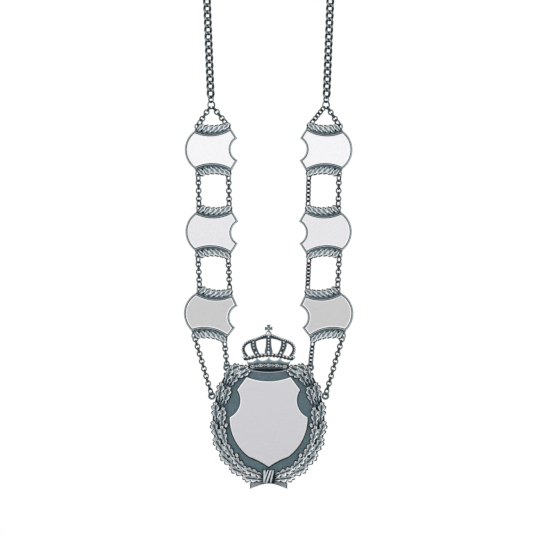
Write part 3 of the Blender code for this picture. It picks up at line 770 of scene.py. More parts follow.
@dataclass(frozen=True)
class Link:
    """A closed oval of round wire. Bluntness below 1 fills out its ends, and twist turns them apart."""

    length: float
    width: float
    wire: float
    bluntness: float = 1.0
    twist: float = 0.0
    # shine and crest_start set the painted highlight along the wire's front and back crests, and the edge-on
    # value paints shade on a link seen edge on.
    shine: float = 1.0
    edge_on_shade: float = 0.2
    crest_start: float = 0.62
    steps: int = 28
    sides: int = 10

    def filled(self, value: float) -> float:
        """A sine or cosine, moved outwards where the ends are blunt."""
        return math.copysign(abs(value) ** self.bluntness, value)

    def wire_at(self, angle: float, along: Vector, across: Vector) -> tuple[Vector, Vector]:
        """A place on the wire's middle line.

        Args:
            angle: Where on the oval, from the end that along points to.
            along: Direction of the link's length.
            across: Direction of its width before the twist.

        Returns:
            The place from the link's middle, and the direction in which the link faces there.
        """
        normal = along.cross(across)
        reach = self.filled(math.cos(angle))
        turn = 0.5 * self.twist * reach
        sideways = across * math.cos(turn) + normal * math.sin(turn)
        place = along * (0.5 * (self.length - self.wire) * reach)
        place += sideways * (0.5 * (self.width - self.wire) * self.filled(math.sin(angle)))
        return place, normal * math.cos(turn) - across * math.sin(turn)

    def add_to(self, work: Mesh, centre: Vector, along: Vector, across: Vector) -> None:
        """Model the link.

        Args:
            work: The mesh that takes it.
            centre: Its middle.
            along: Direction of its length.
            across: Direction of its width before the twist.
        """
        rings = []
        for step in range(self.steps):
            angle = 2.0 * math.pi * (step + 0.5) / self.steps
            place, facing = self.wire_at(angle, along, across)
            ahead, behind = (self.wire_at(angle + nudge, along, across)[0] for nudge in (NUDGE, -NUDGE))
            tangent = (ahead - behind).normalized()
            outward = tangent.cross(facing).normalized()
            facing = outward.cross(tangent)
            offsets = [facing * lift - outward * out for out, lift in circle(self.sides)]
            rings.append([place + offset * (0.5 * self.wire) for offset in offsets])
        # The wire is brightest on the crests that stand furthest in front of and behind the link's middle,
        # partly rubbed wear and partly a painted highlight; a link seen edge on is painted darker as shade.
        proud = max(abs(place.y) for ring in rings for place in ring)
        tone = self.shine * between(self.edge_on_shade, 1.0, abs(along.cross(across).y))
        shaded = []
        for ring in rings:
            rub_and_light_values = [tone * smooth_step(self.crest_start, 1.0, abs(place.y) / proud) for place in ring]
            shaded.append([work.vertex(centre + place, rub_and_light) for place, rub_and_light in zip(ring, rub_and_light_values)])
        work.loft(shaded, looped=True)


@dataclass(frozen=True)
class Ring:
    """A ring of wire that hangs at one of the frame's ring nodes, turned out of the chain's plane."""

    node: str
    direction: Vector
    turn: float
    link: Link

    def build(self, finish: Material) -> Vector:
        """Make the ring and hand it over.

        Args:
            finish: The wire's finish.

        Returns:
            Its middle.
        """
        low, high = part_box(self.node)
        centre = 0.5 * (low + high)
        work = Mesh()
        self.link.add_to(work, centre, self.direction, square_to(self.direction, self.turn))
        hand_over(work.finished(self.node + "_wire", (finish,)), (self.node,))
        return centre


@dataclass(frozen=True)
class NeckChain:
    """The curb chain: flat links of round wire, each one twisted between its two ends."""

    wire: float = 1.7 * MM
    swell: float = 0.27 * MM
    link_length: float = 8.85 * MM
    link_width: float = 6.2 * MM
    twist: float = math.radians(-90.0)
    count: int = 56
    lean: float = math.radians(2.25)
    weld: float = 0.2 * MM
    bluntness: float = 0.8
    end_x: float = 46.28 * MM

    def pitch(self) -> float:
        """Distance between neighbouring links."""
        return self.link_length - 2.0 * self.wire + self.weld

    def half_length(self) -> float:
        """Half the chain's length."""
        return 0.5 * (self.count * self.pitch() + self.wire - self.weld)

    def point(self, distance: float) -> tuple[Vector, Vector]:
        """A place on the chain's middle line, which arches over the nape and runs down straight.

        Args:
            distance: Distance from the nape, negative on the left.

        Returns:
            The point and the chain's direction there.
        """
        sweep = 0.5 * math.pi + self.lean
        straight = self.half_length() - self.end_x / math.cos(self.lean) * sweep
        straight /= 1.0 + math.tan(self.lean) * sweep
        radius = (self.end_x + straight * math.sin(self.lean)) / math.cos(self.lean)
        side = math.copysign(1.0, distance)
        angle = min(abs(distance) / radius, sweep)
        down = max(abs(distance) - radius * sweep, 0.0)
        along = Vector((math.cos(angle), 0.0, -side * math.sin(angle)))
        x = side * radius * math.sin(angle) + side * down * along.x
        z = 0.5 * self.link_width - radius + radius * math.cos(angle) - down * abs(along.z)
        return Vector((x, 0.0, z)), along

    def build(self, finish: Material) -> None:
        """Make all the links and hand them over.

        Args:
            finish: The wire's finish.
        """
        sizes = (self.link_length, self.link_width, self.wire)
        length, width, wire = (size + self.swell for size in sizes)
        link = Link(length, width, wire, self.bluntness, self.twist, steps=36, sides=12)
        first = 0.5 * (self.link_length - self.wire) - self.half_length()
        work = Mesh()
        for index in range(self.count):
            centre, along = self.point(first + index * self.pitch())
            link.add_to(work, centre, along, square_to(along))
        hand_over(work.finished("neck_chain_links", (finish,)), ("neck_chain",))


@dataclass(frozen=True)
class Hold:
    """Where a strand is held: the middle of a hole and how far its wire rests from there."""

    middle: Vector
    reach: float


@dataclass(frozen=True)
class LinkStrand:
    """A strand of fine round links between two holes, with a jump ring at each end that has one."""

    name: str
    upper: Hold
    lower: Hold
    upper_ring: bool
    lower_ring: bool
    side: float
    roll: float
    first_turned: bool
    link_width: float = 4.7 * MM
    link_pitch: float = 3.06 * MM
    link_wire: float = 1.1 * MM
    link_turn: float = math.radians(-72.0)
    link_shine: float = 0.62
    ring: Link = Link(6.85 * MM, 6.0 * MM, 1.2 * MM, steps=40, sides=12)
    ring_turn: float = math.radians(54.0)

    def build(self, finish: Material) -> None:
        """Make the jump rings and the links and hand them over.

        Args:
            finish: The wire's finish.
        """
        down = (self.lower.middle - self.upper.middle).normalized()
        ends = []
        for hold, has_ring, label, inwards in (
            (self.upper, self.upper_ring, "_upper_ring", down),
            (self.lower, self.lower_ring, "_lower_ring", -down),
        ):
            if has_ring:
                middle = Ring(self.name + label, inwards, self.side * self.ring_turn, self.ring).build(finish)
                reach = 0.5 * (self.ring.length - self.link_wire) - self.ring.wire
            else:
                middle = hold.middle
                reach = hold.reach - 0.5 * self.link_wire
            ends.append(middle + inwards * reach)
        self.build_links(ends[0], ends[1], down, finish)

    def build_links(self, start: Vector, end: Vector, down: Vector, finish: Material) -> None:
        """Make the round links, every other one turned out of the plane of its neighbours.

        Args:
            start: Middle of the first link's upper wire.
            end: Middle of the last link's lower wire.
            down: Direction of the strand.
            finish: The wire's finish.
        """
        run = (end - start).length
        count = max(1, round((run - self.link_wire) / self.link_pitch))
        reach = (run + (count - 1) * self.link_wire) / count
        link = Link(reach + self.link_wire, self.link_width, self.link_wire, shine=self.link_shine)
        work = Mesh()
        for index in range(count):
            centre = start + down * (0.5 * reach + index * (reach - self.link_wire))
            turn = self.roll + self.link_turn * ((index + self.first_turned) % 2)
            link.add_to(work, centre, down, square_to(down, turn))
        hand_over(work.finished(self.name + "_links", (finish,)), (self.name,))


@dataclass(frozen=True)
class OakLeaf:
    """A lobed leaf in relief, from its stem to its tip."""

    length: float
    width: float
    height: float
    lobes: int = 4
    lobe_depth: float = 0.72
    lobe_bluntness: float = 0.55
    foot_width: float = 0.3
    widest: float = 0.5
    taper_start: float = 0.55
    taper_power: float = 2.4
    forward: float = 0.42
    edge_height: float = 0.3
    shoulder: Point = (0.1 * MM, 0.5 * MM)
    rim_width: float = 0.95 * MM
    rim_slope: float = 1.5
    hollow: float = 0.47
    vein: float = 0.95
    vein_cut: float = 0.6
    vein_width: float = 0.4 * MM
    vein_fade: Point = (0.75, 0.95)
    # Painted shade darkens each leaf towards its stem, where the tip of the leaf before lies over it, and the
    # dark skirt round the leaf's edge paints its shadow on the ground.
    stem_shade: float = 0.45
    stem_shade_end: float = 0.35
    shadow_skirt: float = 0.55 * MM
    tilt: float = 0.0
    spans_a_lobe: int = 10
    across_steps: tuple[float, ...] = (0.08, 0.2, 0.35, 0.5, 0.64, 0.78, 0.9, 1.0)

    def half_width(self, share: float) -> float:
        """Half the leaf's width at a share of its length.

        Args:
            share: 0 at the stem, 1 at the tip.

        Returns:
            The half width.
        """
        body = between(self.foot_width, 1.0, math.sin(0.5 * math.pi * min(share / self.widest, 1.0)))
        tapered = max(0.0, (share - self.taper_start) / (1.0 - self.taper_start))
        body *= math.sqrt(max(0.0, 1.0 - tapered**self.taper_power))
        lobe = abs(math.sin(math.pi * (self.lobes - 0.5) * share)) ** self.lobe_bluntness
        return 0.5 * self.width * body * (1.0 - self.lobe_depth * (1.0 - lobe))

    def relief_at(self, share: float, offset: float, half: float) -> Point:
        """The leaf's relief at one place.

        Args:
            share: Share of the leaf's length.
            offset: Distance from the midrib, negative on its right.
            half: Half the leaf's width there.

        Returns:
            The height over the leaf's edge, and the rub.
        """
        inside = half - abs(offset)
        crest = smooth_step(*self.shoulder, inside)
        crest *= 1.0 - self.hollow * smooth_step(self.rim_width, self.rim_slope * self.rim_width, inside)
        vein = self.vein * math.exp(-((offset / self.vein_width) ** 2))
        vein *= 1.0 - smooth_step(*self.vein_fade, share)
        rise = self.height * between(self.edge_height, 1.0, crest) * (1.0 - self.vein_cut * vein)
        # Painted shade towards the stem.
        tone = between(self.stem_shade, 1.0, smooth_step(0.0, self.stem_shade_end, share))
        return rise if inside > -0.1 * self.shadow_skirt else 0.0, tone * crest * (1.0 - vein)

    def add_to(
        self,
        relief: Relief,
        stem: Vector,
        angle: float,
        edge: float,
        back: float,
        bend: float = 0.0,
        tone: float = 1.0,
    ) -> None:
        """Model the leaf into a relief.

        Args:
            relief: The mesh that takes it.
            stem: Foot of the leaf, in u and v.
            angle: Direction of its midrib from u towards v.
            edge: Depth of its edge.
            back: Depth of its back.
            bend: Turn of the midrib from its foot to its tip.
            tone: How strongly its crests are rubbed.
        """
        spans = self.spans_a_lobe * self.lobes
        rows = []
        place = Vector(stem)
        for step in range(spans + 1):
            share = step / spans
            heading = angle + bend * (share - 0.5)
            along = Vector((math.cos(heading), math.sin(heading)))
            left = Vector((-along.y, along.x))
            half = self.half_width(share)
            # The last offset runs out onto the skirt, a flat dark rim that paints the leaf's shadow.
            offsets = [*(across * half for across in self.across_steps), half + self.shadow_skirt]
            row = []
            for offset in (*(-value for value in reversed(offsets)), 0.0, *offsets):
                point = place + left * offset + along * (self.forward * abs(offset) * (1.0 - share**3))
                rise, rub_and_light = self.relief_at(share, offset, half)
                row.append((point.x, point.y, edge - rise - self.tilt * (share - 0.5), tone * rub_and_light))
            rows.append(row)
            place += along * (self.length / spans)
        relief.sheet(rows, back)


@dataclass(frozen=True)
class Plate:
    """One engraving plate: rimmed satin field, two leaf garlands and four pierced lugs."""

    side: Side
    row: int
    seat: Seat
    corner_x: float = 14.5 * MM
    inner_corner_z: float = 16.9 * MM
    outer_corner_z: float = 15.2 * MM
    ear_x: float = 19.5 * MM
    ear_z: float = 8.7 * MM
    notch_depth: float = 5.4 * MM
    bulge_depth: float = 7.9 * MM
    edge_sag: float = 3.8 * MM
    edge_spans: int = 28
    ear_spans: int = 4
    notch_spans: int = 24
    bulge_spans: int = 36
    lug_inset: float = 2.4 * MM
    outer_lug_rise: float = 3.7 * MM
    inner_lug_rise: float = 2.4 * MM
    lug_radius: float = 2.5 * MM
    lug_hole: float = 1.3 * MM
    lug_half_thickness: float = 0.6 * MM
    lug_tone: float = 0.65
    web_lap: float = 0.4 * MM
    web_start: float = 1.65 * MM
    web_sides: Point = (0.8 * MM, 0.5 * MM)
    web_half_width: float = 1.0 * MM
    web_tiers: Tiers = ((0.0, 0.5, 0.2), (0.0, -0.5, 0.2), (0.35, -0.7, 0.5))
    leaf: OakLeaf = OakLeaf(8.4 * MM, 4.7 * MM, 0.95 * MM, lobes=3, lobe_depth=0.3, hollow=0.3, vein=0.4)
    leaf_count: int = 6
    leaf_slant: float = math.radians(44.0)
    leaf_shift: Point = (2.2 * MM, 0.8 * MM)
    leaf_front: float = -0.85 * MM
    leaf_layer: float = 0.05 * MM
    leaf_back: float = 0.2 * MM
    leaf_tone: float = 0.92
    first_leaf: float = 0.35
    garland_spans: int = 60
    garland_run: tuple[int, int] = (6, 55)
    garland_outer_rise: float = 1.7 * MM
    garland_inner_rise: float = 2.2 * MM
    garland_lap: float = 0.6 * MM
    garland_levels: tuple[Point, ...] = ((0.35 * MM, 0.2), (-0.75 * MM, 0.3))
    ripples: float = 11.0
    ripple_height: float = 0.35 * MM
    line_run: tuple[int, int] = (4, 57)
    line_place: Point = (0.75 * MM, -0.95 * MM)
    line_radius: float = 0.42 * MM
    line_tone: float = 0.55
    rim_tiers: Tiers = (
        (0.15, 0.8, 0.55),
        (0.0, 0.65, 0.4),
        (0.0, -1.05, 0.0),
        (0.2, -1.3, 0.3),
        (0.5, -1.3, 0.76),
        (0.8, -1.25, 0.66),
        (1.05, -1.1, 0.2),
        (1.3, -0.8, 0.0),
        (1.5, -0.9, 0.3),
        (1.6, -0.92, 1.0, 2),
        (2.3, -0.8, 1.0, 2),
    )

    def top_edge(self, spans: int) -> Outline:
        """The concave top edge, from the outer corner to just before the inner one."""
        outer = (self.corner_x, self.outer_corner_z)
        return arc(outer, (-self.corner_x, self.inner_corner_z), self.edge_sag, spans)

    def outline(self) -> Outline:
        """The plate's counter-clockwise outline.

        Returns:
            Its points.
        """
        top = self.top_edge(self.edge_spans)
        inner = (-self.corner_x, self.inner_corner_z)
        ear = (-self.ear_x, self.ear_z)
        low_outer, low_inner, low_ear = ((u, -v) for u, v in (top[0], inner, ear))
        outline = arc(inner, ear, 0.0, self.ear_spans)
        outline += arc(ear, low_ear, self.notch_depth, self.notch_spans)
        outline += arc(low_ear, low_inner, 0.0, self.ear_spans)
        outline += [(u, -v) for u, v in (inner, *reversed(top[1:]))]
        return outline + arc(low_outer, top[0], -self.bulge_depth, self.bulge_spans) + top

    def lug(self, end: float, flip: float) -> Point:
        """Middle of a lug's hole.

        Args:
            end: 1 at the outer end, -1 at the inner one.
            flip: 1 at the top, -1 at the bottom.

        Returns:
            The middle.
        """
        if end > 0.0:
            return self.corner_x - self.lug_inset, flip * (self.outer_corner_z + self.outer_lug_rise)
        return self.lug_inset - self.corner_x, flip * (self.inner_corner_z + self.inner_lug_rise)

    def lug_hold(self, end: float, flip: float) -> Hold:
        """The same hole in the chain's own frame."""
        return Hold(self.seat.at(*self.lug(end, flip)), self.lug_hole)

    def add_garland(self, relief: Relief, flip: float) -> None:
        """Model the leaves above the plate, or below it.

        Args:
            relief: The mesh that takes them.
            flip: 1 above the plate, -1 below it.
        """
        edge = self.top_edge(self.garland_spans)
        run = edge[slice(*self.garland_run)]
        outer_z = self.outer_corner_z + self.garland_outer_rise
        inner_z = self.inner_corner_z + self.garland_inner_rise
        tips = []
        for u, _ in run:
            share = 0.5 * (1.0 - u / self.corner_x)
            ripple = self.ripple_height * abs(math.sin(self.ripples * math.pi * share))
            tips.append((u, between(outer_z, inner_z, share) + ripple))
        feet = [(u, v - self.garland_lap) for u, v in reversed(run)]
        backing = [(u, flip * v) for u, v in tips + feet]
        relief.stack([Level(backing, *level) for level in self.garland_levels])
        rise, depth = self.line_place
        line = [(u, flip * (v + rise), depth) for u, v in edge[slice(*self.line_run)]]
        relief.cord(line, self.line_radius, self.line_tone)
        angle = flip * (math.pi - self.leaf_slant)
        for index in range(self.leaf_count):
            u, v = run[int((index + self.first_leaf) / self.leaf_count * len(run))]
            stem = Vector((u + self.leaf_shift[0], flip * (v + self.leaf_shift[1])))
            front = self.leaf_front - self.leaf_layer * index
            self.leaf.add_to(relief, stem, angle, front, self.leaf_back, tone=self.leaf_tone)

    def add_lug(self, relief: Relief, end: float, flip: float) -> None:
        """Model a lug and the web that joins it to the plate's corner.

        Args:
            relief: The mesh that takes it.
            end: 1 at the outer end, -1 at the inner one.
            flip: 1 at the top, -1 at the bottom.
        """
        lug = Vector(self.lug(end, flip))
        relief.eye(lug, self.lug_hole, self.lug_radius, self.lug_half_thickness, self.lug_tone)
        corner_z = self.outer_corner_z if end > 0.0 else self.inner_corner_z
        corner = Vector((end * (self.corner_x - self.web_lap), flip * (corner_z - self.web_lap)))
        towards = (corner - lug).normalized()
        left = Vector((-towards.y, towards.x))
        start = lug + towards * self.web_start
        right_side, left_side = self.web_sides
        web = [
            start + left * self.web_half_width,
            start - left * self.web_half_width,
            corner - left * right_side,
            corner + left * left_side,
        ]
        relief.stack(drawn_in([tuple(point) for point in web], self.web_tiers))

    def build(self, finishes: Finishes) -> None:
        """Make the plate and hand it over.

        Args:
            finishes: The shared finishes.
        """
        relief = Relief(self.seat)
        relief.stack(drawn_in(self.outline(), self.rim_tiers), 1)
        for flip in (1.0, -1.0):
            self.add_garland(relief, flip)
            for end in (-1.0, 1.0):
                self.add_lug(relief, end, flip)
        name = f"plate_{self.side.label}_{self.row}"
        # Each row takes its copy of the satin with its painted light and shade.
        materials = (finishes.casting, finishes.satin[self.row - 1], finishes.edge)
        hand_over(relief.finished(name + "_casting", materials), (name,))


@dataclass(frozen=True)
class Oval:
    """An egg-shaped line, open at its top, where it ends at an angle from its foot."""

    half_width: float
    depth_down: float
    rise_up: float
    cut: float

    def point(self, share: float) -> Vector:
        """A place on it.

        Args:
            share: -1 at its left end, 0 at its foot, 1 at its right end.

        Returns:
            The place from its middle.
        """
        angle = share * self.cut
        height = self.depth_down if abs(angle) < 0.5 * math.pi else self.rise_up
        return Vector((self.half_width * math.sin(angle), -height * math.cos(angle)))


@dataclass(frozen=True)
class LeafRow:
    """A row of the wreath: its place across the band, its first and last leaf, and its leaves' own sizes."""

    across: float
    first: float
    last: float
    swing: float
    count: int
    length: float
    sink: float = 0.0
    tone: float = 1.14


@dataclass(frozen=True)
class Wreath:
    """The band of oak leaves round the medallion's field.

    Its ground is a table of the place across the band, the depth in millimetres, the rub and the finish.
    """

    rim: Oval = Oval(44.8 * MM, 48.2 * MM, 61.0 * MM, math.radians(138.7))
    field: Oval = Oval(34.0 * MM, 38.8 * MM, 49.2 * MM, math.radians(152.0))
    front: float = -0.8 * MM
    leaf_front: float = -2.3 * MM
    leaf_layer: float = 0.11 * MM
    leaf_width: float = 6.7 * MM
    leaf_height: float = 1.0 * MM
    leaf_tilt: float = 0.8 * MM
    leaf_reach: float = 0.05
    leaf_bend: float = 1.2
    foot_tone: float = 1.25
    end_tone: float = 0.81
    ground: Tiers = (
        (0.02, 0.8, 0.55, 0),
        (0.0, 0.6, 0.3, 0),
        (0.0, -0.8, 0.1, 0),
        (0.25, -1.76, 0.05, 0),
        (0.5, -2.0, 0.0, 0),
        (0.75, -2.0, 0.0, 0),
        (0.9, -1.76, 0.0, 1),
        (1.0, -0.8, 0.1, 1),
    )
    rows: tuple[LeafRow, ...] = (
        LeafRow(0.47, 0.17, 0.9, 0.05, 8, 16.0 * MM, sink=0.5 * MM, tone=0.6),
        LeafRow(0.23, 0.122, 0.925, -0.14, 8, 17.4 * MM),
        LeafRow(0.72, 0.13, 0.9, 0.06, 7, 17.0 * MM),
    )
    corner_leaves: tuple[tuple[Point, Point], ...] = (
        ((33.4 * MM, 41.4 * MM), (22.8 * MM, 46.0 * MM)),
        ((29.6 * MM, 39.4 * MM), (16.4 * MM, 45.2 * MM)),
        ((25.6 * MM, 36.3 * MM), (14.6 * MM, 42.8 * MM)),
    )
    corner_leaf_width: float = 6.2 * MM
    corner_leaf_height: float = 1.1 * MM
    corner_leaf_tone: float = 1.08
    acorns: tuple[Point, ...] = ((0.3, 0.93), (0.56, 0.93))
    acorn_lean: Point = (0.03, 0.12)
    acorn: OakLeaf = OakLeaf(4.2 * MM, 2.9 * MM, 1.5 * MM, lobes=1, lobe_depth=0.0, forward=0.0, vein=0.0)
    sections: int = 120

    def point(self, share: float, across: float) -> Vector:
        """A place on the band.

        Args:
            share: -1 beside the crown on the left, 0 at the knot, 1 beside the crown on the right.
            across: 0 at the outer edge, 1 at the field.

        Returns:
            The place from the medallion's middle.
        """
        return self.rim.point(share).lerp(self.field.point(share), across)

    def ring(self, across: float) -> Outline:
        """The band's closed outline at one distance across it."""
        shares = (2.0 * step / self.sections - 1.0 for step in range(self.sections + 1))
        return [tuple(self.point(share, across)) for share in shares]

    def add_row(self, relief: Relief, side: float, number: int) -> None:
        """Model one row of leaves on one side.

        Args:
            relief: The mesh that takes them.
            side: -1 on the left, 1 on the right.
            number: Which row.
        """
        row = self.rows[number]
        leaf = OakLeaf(row.length, self.leaf_width, self.leaf_height, tilt=self.leaf_tilt)
        for index in range(row.count):
            share = between(row.first, row.last, index / (row.count - 1))
            near = (share - self.leaf_reach, share, share + self.leaf_reach)
            behind, middle, ahead = (self.point(side * place, row.across) for place in near)
            angle = bearing(middle - behind) + side * row.swing
            bend = self.leaf_bend * (ahead - middle).angle_signed(middle - behind)
            stem = middle - Vector((math.cos(angle), math.sin(angle))) * (0.5 * leaf.length)
            front = self.leaf_front - self.leaf_layer * (index % 2 + 0.5 * number) + row.sink
            tone = row.tone * between(self.foot_tone, self.end_tone, share)
            leaf.add_to(relief, stem, angle, front, self.front, bend, tone)

    def add_to(self, relief: Relief) -> None:
        """Model the band, its leaves, the leaves beside the crown and the acorns.

        Args:
            relief: The mesh that takes them.
        """
        levels = [Level(self.ring(across), y * MM, rub_and_light, finish) for across, y, rub_and_light, finish in self.ground]
        relief.stack(levels, 1)
        for side in (-1.0, 1.0):
            for number in range(len(self.rows)):
                self.add_row(relief, side, number)
            for order, (foot, tip) in enumerate(self.corner_leaves):
                stem = Vector((side * foot[0], foot[1]))
                run = Vector((side * tip[0], tip[1])) - stem
                leaf = OakLeaf(run.length, self.corner_leaf_width, self.corner_leaf_height, lobes=3)
                front = self.leaf_front - self.leaf_layer * order
                leaf.add_to(relief, stem, bearing(run), front, self.front, tone=self.corner_leaf_tone)
            for share, across in self.acorns:
                stem = self.point(side * share, across)
                run = self.point(side * (share + self.acorn_lean[0]), across + self.acorn_lean[1]) - stem
                self.acorn.add_to(relief, stem, bearing(run), self.leaf_front, self.front)


@dataclass(frozen=True)
class Crown:
    """The crown over the wreath: circlet, pearl row, five arches, orb and cross.

    The arches and the pearl row are tables of x, z and half width as shares of the crown's own sizes, and
    the profiles hold a place, a depth or a lift in millimetres, and the rub.
    """

    relief: Relief
    shoulder: float
    half_width: float = 20.0 * MM
    rise: float = 19.8 * MM
    bar_width: float = 4.0 * MM
    circlet_height: float = 9.2 * MM
    band_height: float = 4.4 * MM
    foot_share: float = 0.74
    top_share: float = 0.91
    foot_arch: float = 1.6 * MM
    top_arch: float = 2.2 * MM
    far_arch: float = -1.85 * MM
    scallop: float = 3.9 * MM
    scallop_spans: int = 12
    bow: float = 0.7 * MM
    orb_radius: float = 2.4 * MM
    orb_y: float = -0.6 * MM
    orb_tone: float = 0.9
    back: float = 0.6 * MM
    front: float = -1.5 * MM
    pearl_y: float = -1.6 * MM
    pearl_tone: float = 0.88
    layer: float = 0.11 * MM
    bar_spans: int = 6
    brim: float = 0.25 * MM
    brim_slope: float = 0.75
    brim_lift: float = 0.15 * MM
    brim_tones: Point = (0.6, 0.72)
    outer_pearls: Triple = (1.8 * MM, 0.82 * MM, 0.7)
    arch_pearls: Point = (2.4 * MM, 1.0 * MM)
    row_pearls: Triple = (2.9 * MM, 1.15 * MM, 0.35)
    crossing_pearl: float = 1.25 * MM
    middle_pearl: float = 1.35 * MM
    middle_pearl_stretch: float = 1.25
    middle_pearl_rise: float = 0.25
    middle_run: tuple[int, int] = (2, -5)
    crossing: int = -4
    centre_end: int = -8
    wave_drops: Point = (0.8 * MM, 1.6 * MM)
    wave_y: float = -2.4 * MM
    wave_radius: float = 0.32 * MM
    wave_run: tuple[int, int] = (4, -4)
    wave_spans: int = 4
    figure_pitch: float = 0.21
    figure_place: Point = (1.04, 0.53)
    figure_rise: float = 0.15 * MM
    figure_radius: float = 0.3 * MM
    bead_radius: float = 0.55 * MM
    oval: tuple[float, float, int] = (1.5 * MM, 0.95 * MM, 14)
    diamond: tuple[float, float, int] = (0.95 * MM, 0.8 * MM, 4)
    far_rim_spans: int = 12
    far_rim_depths: Point = (-0.3 * MM, -1.0 * MM)
    far_rim_y: float = -1.15 * MM
    far_rim_radius: float = 0.5 * MM
    far_rim_tone: float = 0.75
    cross_arm: float = 3.0 * MM
    cross_bar: float = 0.75 * MM
    cross_height: float = 7.2 * MM
    cross_foot: float = 0.7
    cross_pearl_y: float = -1.4 * MM
    cross_tiers: Tiers = ((0.0, 0.3, 0.2), (0.0, -1.2, 0.2), (0.25, -1.6, 0.4))
    outer_arch: Rows = (
        (0.86, 0.08, 0.3),
        (0.97, 0.22, 0.32),
        (1.01, 0.4, 0.3),
        (0.93, 0.57, 0.3),
        (0.74, 0.69, 0.3),
        (0.53, 0.75, 0.3),
        (0.33, 0.83, 0.33),
        (0.13, 0.89, 0.42),
        (0.0, 0.91, 0.42),
    )
    middle_arch: Rows = ((0.6, 0.78, 0.5), (0.61, 0.56, 0.58), (0.56, 0.37, 0.55), (0.44, 0.13, 0.5))
    centre_arch: Rows = ((0.0, 0.94, 0.5), (0.0, 0.53, 0.55), (0.0, 0.28, 0.78), (0.0, 0.14, 0.62))
    pearl_row: Rows = (
        (0.0, 0.15, 0.3),
        (0.42, 0.11, 0.3),
        (0.82, 0.02, 0.3),
        (0.95, 0.02, 0.22),
        (1.05, 0.06, 0.06),
    )
    bar_profile: Rows = (
        (0.0, 0.2, 0.1),
        (0.45, 0.2, 0.4),
        (0.7, -0.35, 0.52),
        (0.88, -0.3, 0.15),
        (1.0, 0.5, 0.0),
    )
    band_profile: Rows = (
        (0.0, 0.0, 0.4),
        (0.08, 0.5, 0.8),
        (0.17, 0.1, 0.15),
        (0.5, 0.1, 0.35),
        (0.85, 0.1, 0.15),
        (0.93, 0.5, 0.9),
        (1.0, 0.1, 0.35),
    )

    def add_bar(self, sections: Sequence[Triple], order: int, side: float = 1.0) -> list[Triple]:
        """Model a bar with two raised borders and a sunken middle.

        Args:
            sections: Its sections.
            order: How many layers it lies in front of the crown's ground.
            side: -1 to mirror it.

        Returns:
            u, v and half width along it.
        """
        chosen = [
            (side * x * self.half_width, self.shoulder + z * self.rise, half * self.bar_width)
            for x, z, half in sections
        ]
        run = through(chosen, self.bar_spans)
        layer = order * self.layer
        rows = []
        for index, (u, v, half) in enumerate(run):
            along = direction_at(run, index) * half
            row = []
            for t, depth, rub_and_light in both_ways(self.bar_profile):
                row.append((u - along.y * t, v + along.x * t, self.front + depth * MM - layer, rub_and_light))
            rows.append(row)
        self.relief.sheet(rows, self.back - layer)
        return run

    def add_pearls(self, run: Sequence[Triple], pitch: float, radius: float, shift: float = 0.0) -> None:
        """Set pearls along a bar.

        Args:
            run: u, v and half width along it.
            pitch: Distance between two pearls.
            radius: Radius of a pearl.
            shift: How far to the run's left they sit, as a share of its half width.
        """
        travelled = 0.5 * pitch
        for (u, v, half), (next_u, next_v, _) in zip(run, run[1:]):
            step = math.dist((u, v), (next_u, next_v))
            aside = half * shift / max(step, TINY)
            while travelled < step:
                share = travelled / step
                across = between(u, next_u, share) + (v - next_v) * aside
                up = between(v, next_v, share) + (next_u - u) * aside
                self.relief.pearl(across, up, self.pearl_y, radius, self.pearl_tone)
                travelled += pitch
            travelled -= step

    def foot(self, share: float, arch: float) -> Point:
        """A place along the circlet's foot, arched that much, from -1 on the left to 1 on the right."""
        height = self.shoulder - self.circlet_height + arch * (1.0 - share**2)
        return share * self.foot_share * self.half_width, height

    def top(self, share: float) -> Point:
        """A place on the circlet's scalloped top.

        Args:
            share: -1 on the left, 1 on the right.

        Returns:
            The place.
        """
        within = 2.0 * (share + 1.0) % 1.0
        hollow = self.scallop * math.sqrt(max(0.0, 1.0 - (2.0 * within - 1.0) ** 2))
        height = self.shoulder + self.top_arch * (1.0 - share**2) - hollow
        return share * self.top_share * self.half_width, height

    def add_circlet(self) -> None:
        """Model the scalloped band with its borders."""
        rows = []
        for step in range(4 * self.scallop_spans + 1):
            quarter, within = divmod(step, self.scallop_spans)
            share = 0.5 * (quarter + 0.5 - 0.5 * math.cos(math.pi * within / self.scallop_spans)) - 1.0
            foot_u, foot_v = self.foot(share, self.foot_arch)
            top_u, top_v = self.top(share)
            front = self.front - self.bow * (1.0 - share**2)
            row = []
            for up, lift, rub_and_light in self.band_profile:
                u = between(foot_u, top_u, up * self.band_height / self.circlet_height)
                row.append((u, foot_v + self.band_height * up, front - lift * MM, rub_and_light))
            edge = foot_v + self.band_height
            brim = max(top_v, edge + self.brim)
            slope_tone, brim_tone = self.brim_tones
            row.append((between(foot_u, top_u, self.brim_slope), 0.5 * (edge + brim), front, slope_tone))
            row.append((top_u, brim, front - self.brim_lift, brim_tone))
            rows.append(row)
        self.relief.sheet(rows, self.back)

    def add_figures(self) -> None:
        """Model the band's pattern: ovals with a bead, and a diamond between each two."""
        for order in range(-4, 5):
            share = self.figure_pitch * order
            u, v = self.foot(share, self.foot_arch)
            u *= self.figure_place[0]
            v += self.figure_place[1] * self.band_height
            y = self.front - self.bow * (1.0 - share**2) - self.figure_rise
            half_u, half_v, corners = self.diamond if order % 2 else self.oval
            loop = [(u + half_u * across, v + half_v * up, y) for across, up in circle(corners)]
            self.relief.cord(loop, self.figure_radius, 1.0, closed=True)
            if order % 2 == 0:
                self.relief.pearl(u, v, y, self.bead_radius)

    def add_far_rim(self) -> None:
        """Model the far rim of the circlet, seen under its foot, and the dark hollow between."""
        shares = [step / self.far_rim_spans for step in range(-self.far_rim_spans, self.far_rim_spans + 1)]
        lower = [self.foot(share, self.far_arch) for share in shares]
        upper = [self.foot(share, self.foot_arch) for share in reversed(shares[1:-1])]
        self.relief.stack([Level(lower + upper, y, 0.0) for y in self.far_rim_depths])
        self.relief.cord([(u, v, self.far_rim_y) for u, v in lower], self.far_rim_radius, self.far_rim_tone)

